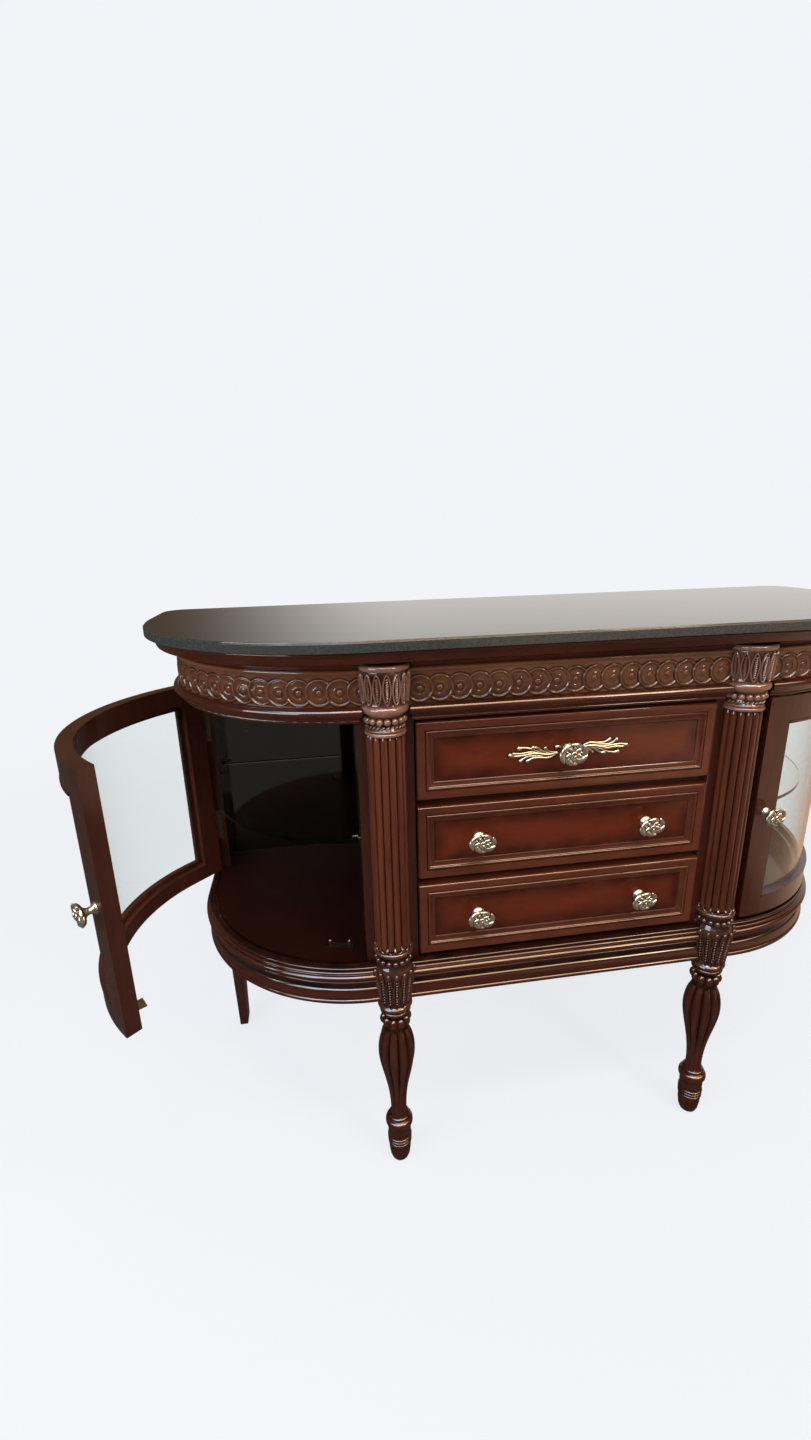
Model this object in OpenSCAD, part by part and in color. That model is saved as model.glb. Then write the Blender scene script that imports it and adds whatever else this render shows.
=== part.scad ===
// Buffet cabinet with rounded glazed ends, three centre drawers and a stone top.
// X runs along the front, Y runs to the back, Z is up. The origin lies on the floor,
// midway between the axes of the two turned front legs.

/* [Case] */
// Height from the floor to the top of the stone
total_h = 928; // [900:1:960]
// Half length of the straight front, to where each end begins to curve
front_half = 306; // [300:1:330]
// Radius of the curved ends at the face of the case
face_r = 288; // [280:1:300]
// Distance of the case face in front of the column axes
face_fwd = 6; // [4:1:8]
// Depth of the case from its face to the back of its frame
case_depth = 414; // [405:1:430]
// Thickness of the back panels
back_t = 6; // [4:1:10]
// Thickness of the partitions beside the drawers
partition_t = 18; // [15:1:22]
// Thickness of the face layer that friezes and mouldings are made from
skin_t = 12; // [10:1:14]

/* [Stone top] */
// Thickness of the stone
stone_t = 15; // [12:1:19]
// Overhang of the stone past the case face
stone_over = 47; // [42:1:52]
// Overhang of the stone past the back panels
stone_back = 6; // [2:1:12]
// Radius of the rear corners of the stone
stone_corner = 40; // [20:1:50]
// Size of the eased top edge of the stone
arris = 2; // [1:0.5:3]

/* [Cornice and frieze] */
// Height of the cornice under the stone
cornice_h = 31; // [28:1:35]
// Reach of the cornice past the case face
cornice_over = 38; // [35:1:41]
// Height of the carved frieze
frieze_h = 51; // [48:1:56]
// Height of the bead band under the frieze
band_h = 25; // [22:1:28]
// Reach of the round bead past the case face
band_over = 14; // [11:1:16]
// Thickness of the board above the compartments
upper_t = 12; // [10:1:16]
// Thickness of the board under the stone
top_t = 18; // [15:1:22]
// Radius of a carved disc
disc_r = 19.5; // [17:0.5:20]
// Distance between neighbouring discs
disc_pitch = 28.3; // [26:0.1:30]
// Width of the raised rim of a disc
rim_w = 2.6; // [2:0.1:3.5]
// Height of the raised rim of a disc
rim_h = 2.2; // [1.5:0.1:3]
// Radius of the round boss in a disc
boss_r = 4.2; // [3:0.1:5]
// Discs on each side of the middle disc
disc_side = 8; // [7:1:8]
// Discs on each curved end
disc_end = 17; // [15:1:17]
// Distance of the first disc of an end past the start of its curve
disc_start = 1.7; // [0:0.1:4]

/* [Base] */
// Height of the underside of the case above the floor
base_z = 342; // [330:1:355]
// Height of the base moulding
base_h = 68; // [64:1:76]
// Rise of the deck above the base moulding
deck_rise = 2; // [1:0.5:3]
// Thickness of the deck
deck_t = 18; // [15:1:22]

/* [Columns and legs] */
// Distance of a column axis from the middle of the cabinet
col_x = 275; // [272:1:278]
// Radius of the reeded shaft over its reeds
shaft_r = 28; // [25:0.5:29]
// Number of reeds round a full shaft
reeds = 14; // [12:1:18]
// Width of the plain post behind a column
post_w = 82; // [78:1:84]
// Depth of the plain post
post_d = 54; // [50:1:60]
// Distance of the post face behind the column axis
post_back = 6; // [4:1:8]
// Radius of the capital over its pointed ovals
capital_r = 38; // [36:0.5:39]
// Rise of the capital past the top of the frieze
capital_rise = 8; // [4:1:9]
// Pointed ovals round a full capital
ovals = 18; // [14:2:20]
// Height of the necking beads and rings at the foot of the capital
neck_h = 43; // [40:1:46]
// Radius of the carved block under the shaft
block_r = 34; // [32:0.5:35]
// Height of the carved block
block_h = 108; // [100:1:112]
// Drop of the carved block below the case
block_drop = 15; // [12:1:20]
// Largest radius of the leg bulb
bulb_r = 30; // [27:0.5:33]
// Radius of the ankle of the leg
ankle_r = 13; // [11:0.5:15]
// Radius of the ringed foot
foot_r = 23; // [20:0.5:26]
// Height of the ringed foot with its glide
foot_h = 100; // [92:1:108]
// Height of the collar of gadroons over the bulb
collar_h = 44; // [40:1:48]
// Lobes round the bulb
lobes = 10; // [8:1:12]
// Depth of the grooves between the lobes
lobe_cut = 4; // [2:0.5:5]
// Width of a rear post
rear_w = 28; // [24:1:32]
// Depth of a rear post
rear_d = 60; // [54:1:66]
// Height of a foot glide
glide_h = 3; // [2:0.5:5]
// Radius of a foot glide
glide_r = 9; // [7:0.5:10]

/* [Drawers] */
// Lift of the bottom drawer front above the base moulding
front_lift = 5; // [4:1:7]
// Gap between the top drawer front and the band over it
front_head = 6; // [4:1:8]
// Gap between two drawer fronts
front_split = 12; // [11:1:13]
// Height that the bottom drawer front has more than the top one
low_front_more = 2; // [0:0.5:4]
// Height that the middle drawer front has less than the top one
mid_front_less = 1; // [0:0.5:4]
// Gap between a drawer front and the post beside it
front_gap = 2; // [1:0.5:3]
// Thickness of the flat board of a drawer front
board_t = 12; // [10:1:14]
// Height of the mouldings over the flat board
mould_h = 9; // [7:0.5:11]
// Width of the mouldings round the flat board
mould_w = 27; // [24:1:30]
// Gap between a drawer front and the rails behind it
stop_gap = 0.5; // [0.3:0.1:1]
// Thickness of the face rails from front to back
rail_t = 20; // [16:1:24]
// Height of a face rail between two drawers
rail_h = 20; // [18:1:22]
// Thickness of drawer sides and backs
side_t = 12; // [10:1:15]
// Depth of a drawer box behind its front
box_depth = 330; // [300:1:340]
// Distance of a drawer side from the post beside it
side_gap = 12; // [10:1:14]
// Free height above a drawer box
top_gap = 8; // [6:1:12]
// Thickness of a drawer bottom
bottom_t = 5; // [4:0.5:8]
// Height of a drawer bottom above the lower edge of the sides
bottom_up = 8; // [6:1:12]
// Running gap between a drawer box and its runners
run_gap = 0.3; // [0.2:0.1:0.6]
// Height of a drawer runner
runner_h = 12; // [10:1:14]
// Height of the guide on a runner
guide_h = 20; // [15:1:25]

/* [Doors] */
// Angle by which the left door stands open
left_open = 45; // [0:1:90]
// Thickness of the door frame
door_t = 22; // [20:1:24]
// Gap round a door
door_gap = 2; // [1.5:0.5:3]
// Lift of a door above the deck
door_lift = 4; // [3:0.5:6]
// Gap between the top of a door and the band over it
door_head = 3; // [2:0.5:5]
// Width of the stile with the knob
stile_w = 41; // [36:1:46]
// Width of the stile with the hinges
hinge_stile_w = 44; // [38:1:50]
// Height of the top rail of a door
top_rail_h = 45; // [40:1:50]
// Height of the bottom rail of a door
low_rail_h = 36; // [32:1:45]
// Thickness of the door glass
glass_t = 4; // [3:0.5:5]
// Width of the rebate that holds the glass
rebate = 8; // [6:1:10]
// Depth of frame in front of the glass
lip_t = 8; // [6:1:10]
// Height of the raised edge of a door rail
rail_edge = 4; // [3:0.5:5]

/* [Hinges and catches] */
// Radius of a hinge barrel
barrel_r = 4; // [3.5:0.1:4.4]
// Radius of a hinge pin
pin_r = 2; // [1.6:0.1:2.4]
// Running clearance of a hinge pin
pin_clear = 0.05; // [0.02:0.01:0.1]
// Length of a hinge barrel
barrel_h = 60; // [50:1:70]
// Thickness of a hinge leaf
leaf_t = 0.8; // [0.6:0.1:0.9]
// Distance of a hinge from the nearer end of its door
hinge_in = 60; // [50:1:80]
// Distance between the two posts of a door catch
catch_gap = 32; // [26:1:36]
// Distance of the catch axis behind the column axes
catch_y = 50; // [48:1:54]

/* [Glass shelf] */
// Height of the top of the glass shelf
shelf_z = 613; // [560:1:660]
// Thickness of the glass shelf
shelf_t = 6; // [5:0.5:8]
// Distance of the shelf front behind the case face
shelf_in = 32; // [28:1:40]
// Clearance round the shelf
shelf_gap = 3; // [2:0.5:4]
// Radius of a shelf pin
shelf_pin_r = 2.5; // [2:0.1:3]
// Length of a shelf pin outside its hole
shelf_pin_out = 12; // [10:1:14]
// Depth of a shelf pin hole
shelf_pin_in = 8; // [6:1:10]
// Distance of the front pin in front of the rear face of its post
front_pin_in = 14; // [10:1:20]
// Distance of the middle pin in front of the centre of the curved end
mid_pin_in = 60; // [40:5:80]
// Distance of the rear pin in front of the back of the case
rear_pin_in = 40; // [30:5:60]

/* [Handles] */
// Radius of a knob head
knob_r = 16; // [14:0.5:18]
// Distance of a knob from the middle of its drawer
knob_x = 136; // [110:1:160]
// Reach of a knob in front of what it is fixed to
knob_out = 28; // [24:1:32]
// Half length of the leaf pull
pull_half = 100; // [80:1:110]

/* [Hidden] */
$fn = 48;

wood = "#4a2016";
dark_wood = "#2e130d";
carved_wood = "#5c3420";
inner_wood = "#26140f";
brass = "#c9b084";
stone = "#3a403c";
pane = "#9fb0ac";
eps = 0.01;

face_y = -face_fwd;
end_y = face_y + face_r;
end_x = front_half + face_r;
back_y = face_y + case_depth;
panel_back = back_y + back_t;

stone_z = total_h - stone_t;
cornice_z = stone_z - cornice_h;
frieze_z = cornice_z - frieze_h;
band_z = frieze_z - band_h;
disc_z = frieze_z + frieze_h * 0.4;
base_top = base_z + base_h;
deck_top = base_top + deck_rise;
deck_z = deck_top - deck_t;

post_in = col_x - post_w / 2;
post_out = col_x + post_w / 2;
post_rear_y = post_back + post_d;
rear_y = back_y - rear_d;
rear_x = end_x - rear_w;
part_in = col_x - partition_t / 2;
part_out = col_x + partition_t / 2;

block_top = base_z - block_drop + block_h;
block_z = base_z - block_drop;
neck_z = cornice_z - frieze_h - neck_h + 1;
capital_z = cornice_z + capital_rise;

front_half_w = post_in - front_gap;
low_front_z = base_top + front_lift;
fronts_h = band_z - front_head - low_front_z - 2 * front_split;
top_front_h = (fronts_h - low_front_more + mid_front_less) / 3;
front_high = [top_front_h + low_front_more, top_front_h - mid_front_less, top_front_h];
mid_front_z = low_front_z + front_high[0] + front_split;
front_low = [low_front_z, mid_front_z, mid_front_z + front_high[1] + front_split];
board_y = board_t + mould_h + face_y + 3;
rail_y = board_y + stop_gap;
box_half = post_in - side_gap;
box_end = board_y + box_depth;

door_z = deck_top + door_lift;
door_top = band_z - door_head;
door_in_r = face_r - door_t;
glass_r = face_r - lip_t;
hinge_y = rear_y - door_gap / 2;
hinge_x = end_x + barrel_r + 0.6;
door_end = rear_y - door_gap;
stile_a = asin((post_out + door_gap - front_half) / face_r);
stile_b = asin((post_out + door_gap + stile_w - front_half) / face_r);
hinge_stile_y = door_end - hinge_stile_w;
hinge_zs = [door_z + hinge_in, door_top - hinge_in - barrel_h];
knuckle_h = barrel_h / 3;
knuckle_gap = 0.3;

big = 2000;

// Outline of the case seen from above, grown by a step, with rounded rear corners
module plan_outline(step, rear, corner = 0) {
    r = face_r + step;
    x = front_half + r;
    for (s = [-1, 1]) {
        translate([s * front_half, end_y]) intersection() {
            circle(r = r, $fn = 120);
            translate([-r, -r]) square([2 * r, r]);
        }
        if (corner > 0) translate([s * (x - corner), rear - corner])
            circle(r = corner, $fn = 64);
    }
    translate([-front_half, end_y - r]) square([2 * front_half, r]);
    translate([-x, end_y]) square([2 * x, rear - corner - end_y]);
    translate([corner - x, end_y]) square([2 * (x - corner), rear - end_y]);
}

// Profile swept round the right end: x is the reach past the case face, y is the height
module sweep_end(rear) {
    translate([front_half, end_y, 0]) rotate([0, 0, -90])
        rotate_extrude(angle = 90, $fn = 120) translate([face_r, 0]) children();
    translate([end_x, rear, 0]) rotate([90, 0, 0])
        linear_extrude(height = rear - end_y) children();
}

// The same profile along the straight front from x0 to x1
module sweep_front(x0, x1) {
    translate([x0, face_y, 0]) rotate([90, 0, 90])
        linear_extrude(height = x1 - x0) mirror([1, 0]) children();
}

module on_side(s) {
    if (s > 0) children();
    else mirror([1, 0, 0]) children();
}

// Footprints of the plain posts, front and rear, on one side
module front_post_space(z0, z1) {
    translate([post_in, post_back, z0]) cube([post_w, post_d, z1 - z0]);
}
module rear_post_space(z0, z1) {
    translate([rear_x, rear_y, z0]) cube([rear_w, rear_d, z1 - z0]);
}

// What the mouldings are scribed round: posts and the round work on a column axis
module scribe_space(r) {
    for (s = [-1, 1]) on_side(s) {
        front_post_space(0, total_h);
        rear_post_space(0, total_h);
        translate([col_x, 0, 0]) cylinder(r = r, h = total_h, $fn = 96);
    }
}

// Stone top with its upper edge stepped back by the arris
module stone_top() {
    color(stone) translate([0, 0, stone_z]) {
        linear_extrude(height = stone_t - arris)
            plan_outline(stone_over, panel_back + stone_back, stone_corner);
        translate([0, 0, stone_t - arris]) linear_extrude(height = arris)
            plan_outline(stone_over - arris, panel_back + stone_back - arris,
                         stone_corner - arris);
    }
}

// Board that carries the stone inside the cornice
module top_board() {
    color(inner_wood) translate([0, 0, stone_z - top_t])
        linear_extrude(height = top_t) plan_outline(-skin_t, back_y);
}

// Hollow at the bottom, a sloping fascia over it and a round bead under the stone
module cornice_profile() {
    h = cornice_h;
    w = cornice_over;
    bead = h * 0.11;
    hollow_h = h * 0.43;
    translate([0, cornice_z]) {
        polygon([[-skin_t, 0], [1, 0], [w * 0.1, h * 0.12], [w * 0.22, h * 0.25],
                 [w * 0.42, h * 0.36], [w * 0.62, h * 0.41], [w - 8, hollow_h],
                 [w - 7, hollow_h + 2], [w - 3.5, h - 2.2 * bead], [w - bead, h - 2 * bead],
                 [w - bead, h], [-skin_t, h]]);
        translate([w - bead, h - bead]) circle(r = bead, $fn = 32);
    }
}

// Cornice in one run round the front and both ends, let in over the capitals
module cornice() {
    color(wood) difference() {
        union() {
            sweep_front(-front_half, front_half) cornice_profile();
            for (s = [-1, 1]) on_side(s) sweep_end(back_y) cornice_profile();
        }
        for (s = [-1, 1]) translate([s * col_x, 0, cornice_z - 1])
            cylinder(r = capital_r, h = capital_rise + 1, $fn = 96);
    }
}

module frieze_profile() {
    polygon([[-skin_t, frieze_z], [0, frieze_z], [0, cornice_z], [-skin_t, cornice_z]]);
}

// Raised borders above and below the discs
module border_profile() {
    translate([-1, cornice_z - 9]) square([2.6, 3]);
    translate([-1, frieze_z]) square([2.2, 2]);
}

// One carved disc facing up its local z, cut where the discs in covers lie on it
module disc_relief(covers) {
    difference() {
        cylinder(r = disc_r, h = rim_h + 1, $fn = 48);
        translate([0, 0, -1]) cylinder(r = disc_r - rim_w, h = rim_h + 3, $fn = 48);
        for (d = covers) translate([d, 0, -1]) cylinder(r = disc_r, h = rim_h + 3, $fn = 48);
    }
    cylinder(r = boss_r, h = rim_h, $fn = 32);
    translate([0, 0, rim_h]) cylinder(r = boss_r * 0.6, h = 1, $fn = 32);
}

module frieze_center() {
    color(carved_wood) difference() {
        union() {
            sweep_front(-col_x, col_x) frieze_profile();
            sweep_front(-col_x, col_x) border_profile();
            for (i = [-disc_side : disc_side])
                translate([i * disc_pitch, face_y + 1, disc_z]) rotate([90, 0, 0])
                    disc_relief(i == 0 ? [-disc_pitch, disc_pitch]
                                       : [sign(i) * disc_pitch]);
        }
        scribe_space(capital_r);
    }
}

module frieze_end() {
    color(carved_wood) difference() {
        union() {
            sweep_end(rear_y) frieze_profile();
            sweep_end(rear_y) border_profile();
            for (i = [0 : disc_end - 1]) {
                run = disc_start + i * disc_pitch;
                a = min(90, run / face_r * 180 / PI);
                extra = max(0, run - face_r * PI / 2);
                translate([front_half, end_y + extra, disc_z]) rotate([0, 0, a - 90])
                    translate([face_r - 1, 0, 0]) rotate([90, 0, 90])
                        disc_relief([-disc_pitch]);
            }
            translate([col_x, face_y, frieze_z])
                cube([front_half - col_x + eps, skin_t, frieze_h]);
        }
        scribe_space(capital_r);
    }
}

// Band with a cove and a round bead that runs under the frieze
module band_profile() {
    polygon([[-skin_t, band_z], [-2, band_z], [0, band_z + 3], [3, band_z + 8],
             [4, band_z + 11], [4, frieze_z - 1], [2, frieze_z], [-skin_t, frieze_z]]);
    translate([-1, band_z + 2.9]) circle(r = 2.6, $fn = 24);
    translate([band_over - 7, frieze_z - 7.5]) circle(r = 6.5, $fn = 40);
    translate([0, frieze_z - 12]) square([band_over - 8, 9]);
}

module frieze_bead() {
    color(wood) {
        difference() {
            sweep_front(-col_x, col_x) band_profile();
            scribe_space(capital_r);
        }
        for (s = [-1, 1]) on_side(s) difference() {
            union() {
                sweep_end(back_y) band_profile();
                sweep_front(col_x, front_half) band_profile();
            }
            scribe_space(capital_r);
        }
    }
}

// Base moulding with two beads at the top, a plain face and a thin bead below
module base_profile() {
    polygon([[-skin_t, base_z], [2, base_z], [2, base_z + 8], [0, base_z + 10],
             [0, base_top - 24], [2, base_top - 22], [2, base_top - 8],
             [-1, base_top - 6], [-1, base_top], [-skin_t, base_top]]);
    translate([1, base_z + 4]) circle(r = 3.6, $fn = 32);
    translate([0, base_top - 4.5]) circle(r = 4, $fn = 32);
    translate([1.5, base_top - 14]) circle(r = 5, $fn = 32);
    translate([0.8, base_top - 22.5]) circle(r = 3, $fn = 32);
}

module base_moulding_center() {
    color(wood) difference() {
        sweep_front(-col_x, col_x) base_profile();
        scribe_space(block_r);
    }
}

module base_moulding_end() {
    color(wood) difference() {
        union() {
            sweep_end(back_y) base_profile();
            sweep_front(col_x, front_half) base_profile();
        }
        scribe_space(block_r);
    }
}

// Deck of both compartments and the drawer bay
module deck_board() {
    color(inner_wood) difference() {
        translate([0, 0, deck_z]) linear_extrude(height = deck_t)
            plan_outline(-skin_t, back_y);
        for (s = [-1, 1]) on_side(s) {
            front_post_space(0, total_h);
            rear_post_space(0, total_h);
        }
    }
}

// Board over the compartments and the drawer bay
module upper_board() {
    color(inner_wood) difference() {
        translate([0, 0, band_z]) linear_extrude(height = upper_t)
            plan_outline(-skin_t, back_y);
        for (s = [-1, 1]) on_side(s) {
            front_post_space(0, total_h);
            rear_post_space(0, total_h);
        }
    }
}

// Places of the four pins that carry a shelf: point on the wall and direction
shelf_under = shelf_z - shelf_t;
shelf_pin_z = shelf_under - shelf_pin_r;
pin_places = [[post_out, post_rear_y - front_pin_in, 1], [part_out, end_y - mid_pin_in, 1],
              [part_out, back_y - rear_pin_in, 1], [rear_x, back_y - rear_d / 2, -1]];

module pin_rod(p, out, deep, r) {
    translate([p[0] - p[2] * deep, p[1], shelf_pin_z]) rotate([0, p[2] * 90, 0])
        cylinder(r = r, h = out + deep, $fn = 24);
}

module pin_holes() {
    for (p = pin_places) pin_rod(p, 1, shelf_pin_in, shelf_pin_r);
}

module partition() {
    color(inner_wood) difference() {
        translate([part_in, post_rear_y, deck_top])
            cube([partition_t, back_y - post_rear_y, band_z - deck_top]);
        pin_holes();
    }
}

module post_front() {
    color(dark_wood) difference() {
        front_post_space(base_z, stone_z - top_t);
        pin_holes();
    }
}

// Rear post that tapers to a plain leg below the case
module post_rear() {
    taper = 0.6;
    color(dark_wood) {
        difference() {
            rear_post_space(base_z, cornice_z);
            pin_holes();
        }
        translate([rear_x + rear_w / 2, rear_y + rear_d / 2, base_z]) mirror([0, 0, 1])
            linear_extrude(height = base_z - glide_h, scale = taper)
                square([rear_w, rear_d], center = true);
    }
}

module foot_glides() {
    color(brass) for (s = [-1, 1]) {
        translate([s * col_x, 0, 0]) cylinder(r = glide_r, h = glide_h);
        translate([s * (rear_x + rear_w / 2), rear_y + rear_d / 2, 0])
            cylinder(r = glide_r - 2, h = glide_h);
    }
}

module back_panel(x0, x1) {
    color(inner_wood) translate([x0, back_y, base_z])
        cube([x1 - x0, back_t, stone_z - top_t - base_z]);
}

// Half space in front of the post face, in which the applied round work lies
module applied(z0, z1) {
    intersection() {
        union() children();
        translate([-big / 2, post_back - big, z0]) cube([big, big, z1 - z0]);
    }
}

// Pointed oval that stands up the drum of a capital
lancet_parts = 5;
module lancet(h, w) {
    rise = [for (k = [-lancet_parts : lancet_parts]) let (z = h / 2 * k / lancet_parts)
            [w / 2 * (1 - pow(2 * z / h, 2)), z]];
    fall = [for (k = [lancet_parts - 1 : -1 : 1 - lancet_parts])
            let (z = h / 2 * k / lancet_parts) [-w / 2 * (1 - pow(2 * z / h, 2)), z]];
    polygon(concat(rise, fall));
}

// Points of a rounded ring of radius r between two heights, standing out by d
function ring_points(r, z0, z1, d) =
    [for (k = [0 : 6]) [r - d * (1 - sin(30 * k)), z0 + (z1 - z0) * (1 - cos(30 * k)) / 2]];

// Capital: two rings and a bead row, a torus, a drum of pointed ovals and a top ring
module capital() {
    r = capital_r;
    h = capital_z - neck_z;
    drum_low = neck_h - 4;
    color(carved_wood) translate([col_x, 0, 0]) applied(neck_z, capital_z) {
        translate([0, 0, neck_z]) rotate_extrude($fn = 96)
            polygon(concat([[0, 0]], ring_points(r - 8.3, 0, 6, 2.5),
                ring_points(r - 9.5, 6.2, 9.6, 1.6), [[r - 13, 11], [r - 13, drum_low - 9]],
                ring_points(r - 4.5, drum_low - 7, drum_low + 4, 4),
                [[r - 6, drum_low + 6], [r - 3, h - 11]], ring_points(r - 2, h - 9, h, 3),
                [[0, h]]));
        for (i = [0.5 - ovals / 4 : ovals / 4 - 0.5]) rotate([0, 0, i * 360 / ovals - 90])
            translate([r - 8, 0, neck_z + (drum_low + h - 5) / 2])
                rotate([90, 0, 90]) linear_extrude(height = 7.5)
                    lancet(h - drum_low - 15, 10.5);
        for (i = [-3.5 : 3.5]) rotate([0, 0, i * 360 / reeds - 90])
            translate([r - 12.8, 0, neck_z + 18]) sphere(r = 4.8, $fn = 32);
    }
}

// Reeded shaft, flat where it lies on its post
module column() {
    core = shaft_r - 5;
    reed_r = 2 * PI * core / reeds / 2 * 0.96;
    shaft_low = block_top;
    color(wood) translate([col_x, 0, 0]) applied(shaft_low, neck_z) {
        translate([0, 0, shaft_low]) linear_extrude(height = neck_z - shaft_low) {
            circle(r = core, $fn = 64);
            for (i = [0 : reeds - 1]) rotate(360 / reeds * (i + 0.5))
                translate([shaft_r - reed_r, 0]) circle(r = reed_r, $fn = 24);
        }
    }
}

// Carved block: bead row, upright leaves and a round lower ring
module block() {
    r = block_r;
    color(carved_wood) difference() {
        translate([col_x, 0, block_z]) {
            rotate_extrude($fn = 96) polygon([[0, 0], [r - 8, 0], [r - 7, 3], [r - 8, 7],
                [r - 9, 9], [r - 5, 26], [r - 4, block_h - 40], [r - 5, block_h - 26],
                [r - 10, block_h - 20], [r - 10, block_h - 8], [r - 5, block_h - 6],
                [r - 4, block_h - 3], [r - 5, block_h], [0, block_h]]);
            for (i = [-4 : 4]) rotate([0, 0, i * 360 / reeds - 90]) {
                translate([r - 6, 0, 22]) cylinder(r = 5.4, h = block_h - 52, $fn = 32);
                translate([r - 6, 0, block_h - 30]) sphere(r = 5.9, $fn = 32);
                translate([r - 9.5, 0, block_h - 13.5]) sphere(r = 5.2, $fn = 32);
            }
        }
        translate([-big / 2, post_back, base_z]) cube([big, big, block_h + 1]);
        translate([-big / 2, -big / 2, block_top]) cube([big, big, 50]);
    }
}

// Radius of the lobed leg at a height, with the lobes given by an angle
leg_sunk = 2;
leg_z0 = foot_h - leg_sunk;
leg_z1 = block_z - collar_h;
leg_steps = 26;
function leg_base(z) = lookup((z - leg_z0) / (leg_z1 - leg_z0),
    [[0, ankle_r + 1.5], [0.07, ankle_r], [0.18, ankle_r + 0.6],
     [0.3, ankle_r + (bulb_r - ankle_r) * 0.17], [0.42, ankle_r + (bulb_r - ankle_r) * 0.42],
     [0.54, ankle_r + (bulb_r - ankle_r) * 0.7], [0.65, ankle_r + (bulb_r - ankle_r) * 0.92],
     [0.73, bulb_r], [0.8, bulb_r - 0.6], [0.87, bulb_r - 2.6], [0.94, bulb_r - 6.5],
     [1, bulb_r - 14]]);
function leg_cut(z) = lookup((z - leg_z0) / (leg_z1 - leg_z0),
    [[0, 0], [0.16, 0], [0.4, lobe_cut * 0.6], [0.72, lobe_cut], [0.9, lobe_cut * 0.9],
     [1, lobe_cut * 0.6]]);
leg_sides = 6 * lobes;
function leg_point(z, k) = let (a = 360 * k / leg_sides,
                                r = leg_base(z) - leg_cut(z) * (1 - abs(sin(a * lobes / 2))))
    [r * cos(a), r * sin(a), z];

module leg_vase() {
    rings = [for (j = [0 : leg_steps]) leg_z0 + (leg_z1 - leg_z0) * j / leg_steps];
    n = leg_sides;
    points = [for (z = rings) for (k = [0 : n - 1]) leg_point(z, k)];
    sides = [for (j = [0 : leg_steps - 1]) for (k = [0 : n - 1])
        let (a = j * n + k, b = j * n + (k + 1) % n)
        each [[a, b + n, b], [a, a + n, b + n]]];
    caps = [[for (k = [0 : n - 1]) k], [for (k = [n - 1 : -1 : 0]) leg_steps * n + k]];
    polyhedron(points = points, faces = concat(sides, caps), convexity = 6);
}

// Turned and carved front leg: collar of round gadroons, lobed bulb and ringed foot
module leg_front() {
    f = foot_r;
    c = block_r - 9;
    t = collar_h;
    color(wood) translate([col_x, 0, 0]) {
        leg_vase();
        translate([0, 0, leg_z1]) rotate_extrude($fn = 72)
            polygon([[0, -2 * leg_sunk], [c - 9, -2 * leg_sunk], [c - 4, 4], [c - 8, 7],
                     [c - 8, t - 16], [c - 3, t - 12], [c, t - 9], [c, t - 5], [c - 2, t - 3],
                     [c - 1, t], [0, t]]);
        for (i = [0 : lobes - 1]) rotate([0, 0, (i + 0.5) * 360 / lobes])
            translate([c - 6.5, 0, leg_z1 + t * 0.41]) sphere(r = t * 0.18, $fn = 32);
        rotate_extrude($fn = 72) {
            polygon([[0, glide_h], [f - 8, glide_h], [f - 5, foot_h * 0.12],
                     [f - 3, foot_h * 0.3], [f - 3, foot_h * 0.6], [f - 4, foot_h * 0.76],
                     [f - 2, foot_h * 0.79], [f - 2, foot_h * 0.93], [ankle_r + 4, foot_h],
                     [0, foot_h]]);
            translate([f - 5, foot_h * 0.86]) circle(r = foot_h * 0.05, $fn = 32);
            translate([f - 5.5, foot_h * 0.66]) circle(r = foot_h * 0.045, $fn = 32);
            translate([f - 5.5, foot_h * 0.54]) circle(r = foot_h * 0.04, $fn = 32);
        }
    }
}

// Heights of the rails behind the drawer fronts
rail_low = [deck_top, (front_low[0] + front_high[0] + front_low[1] - rail_h) / 2 ,
            (front_low[1] + front_high[1] + front_low[2] - rail_h) / 2];
runner_top = [deck_top + runner_h, rail_low[1] + rail_h, rail_low[2] + rail_h];
next_low = [rail_low[1], rail_low[2], band_z - runner_h];

module face_rails() {
    color(dark_wood) translate([0, rail_y, 0]) {
        translate([-post_in, 0, rail_low[0]]) cube([2 * post_in, rail_t, runner_h]);
        for (i = [1, 2]) translate([-post_in, 0, rail_low[i]])
            cube([2 * post_in, rail_t, rail_h]);
        translate([-post_in, 0, next_low[2]]) cube([2 * post_in, rail_t, runner_h]);
    }
}

// Runners that carry the drawers, each with an upright guide
module drawer_runners() {
    color(inner_wood) for (s = [-1, 1]) on_side(s) for (i = [0 : 2]) {
        y0 = rail_y + rail_t;
        z0 = runner_top[i] - runner_h;
        translate([box_half - side_t, post_rear_y, z0])
            cube([part_in - box_half + side_t, back_y - post_rear_y, runner_h]);
        translate([box_half - side_t, y0, z0])
            cube([post_in - box_half + side_t, post_rear_y - y0, runner_h]);
        translate([box_half + 1, y0, z0])
            cube([side_gap - 2, back_y - y0, runner_h + guide_h]);
    }
}

// Profile of the moulded edge of a drawer front: x runs inwards, y is the height
module edge_profile() {
    w = mould_w;
    h = mould_h;
    bead = mould_h * 0.22;
    polygon([[0, 0], [0, h - bead * 1.5], [bead, h - bead * 0.6], [w * 0.45, h - bead * 0.75],
             [w - bead * 3.5, h - bead * 2.75], [w - bead * 3.5, h - bead * 3.25],
             [w - bead, h - bead * 3.75], [w, 0]]);
    translate([bead * 2, h - bead * 1.2]) circle(r = bead * 1.2, $fn = 24);
    translate([bead * 4.8, h - bead * 1.1]) circle(r = bead, $fn = 24);
    translate([w - bead * 2.3, h - bead * 3.1]) circle(r = bead, $fn = 24);
}

// One mitred side of the moulded edge, lying along x from 0 to len
module mitred_side(len) {
    m = mould_w + 1;
    intersection() {
        rotate([90, 0, 90]) linear_extrude(height = len) edge_profile();
        linear_extrude(height = 2 * mould_h) polygon([[0, 0], [len, 0], [len - m, m], [m, m]]);
    }
}

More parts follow.
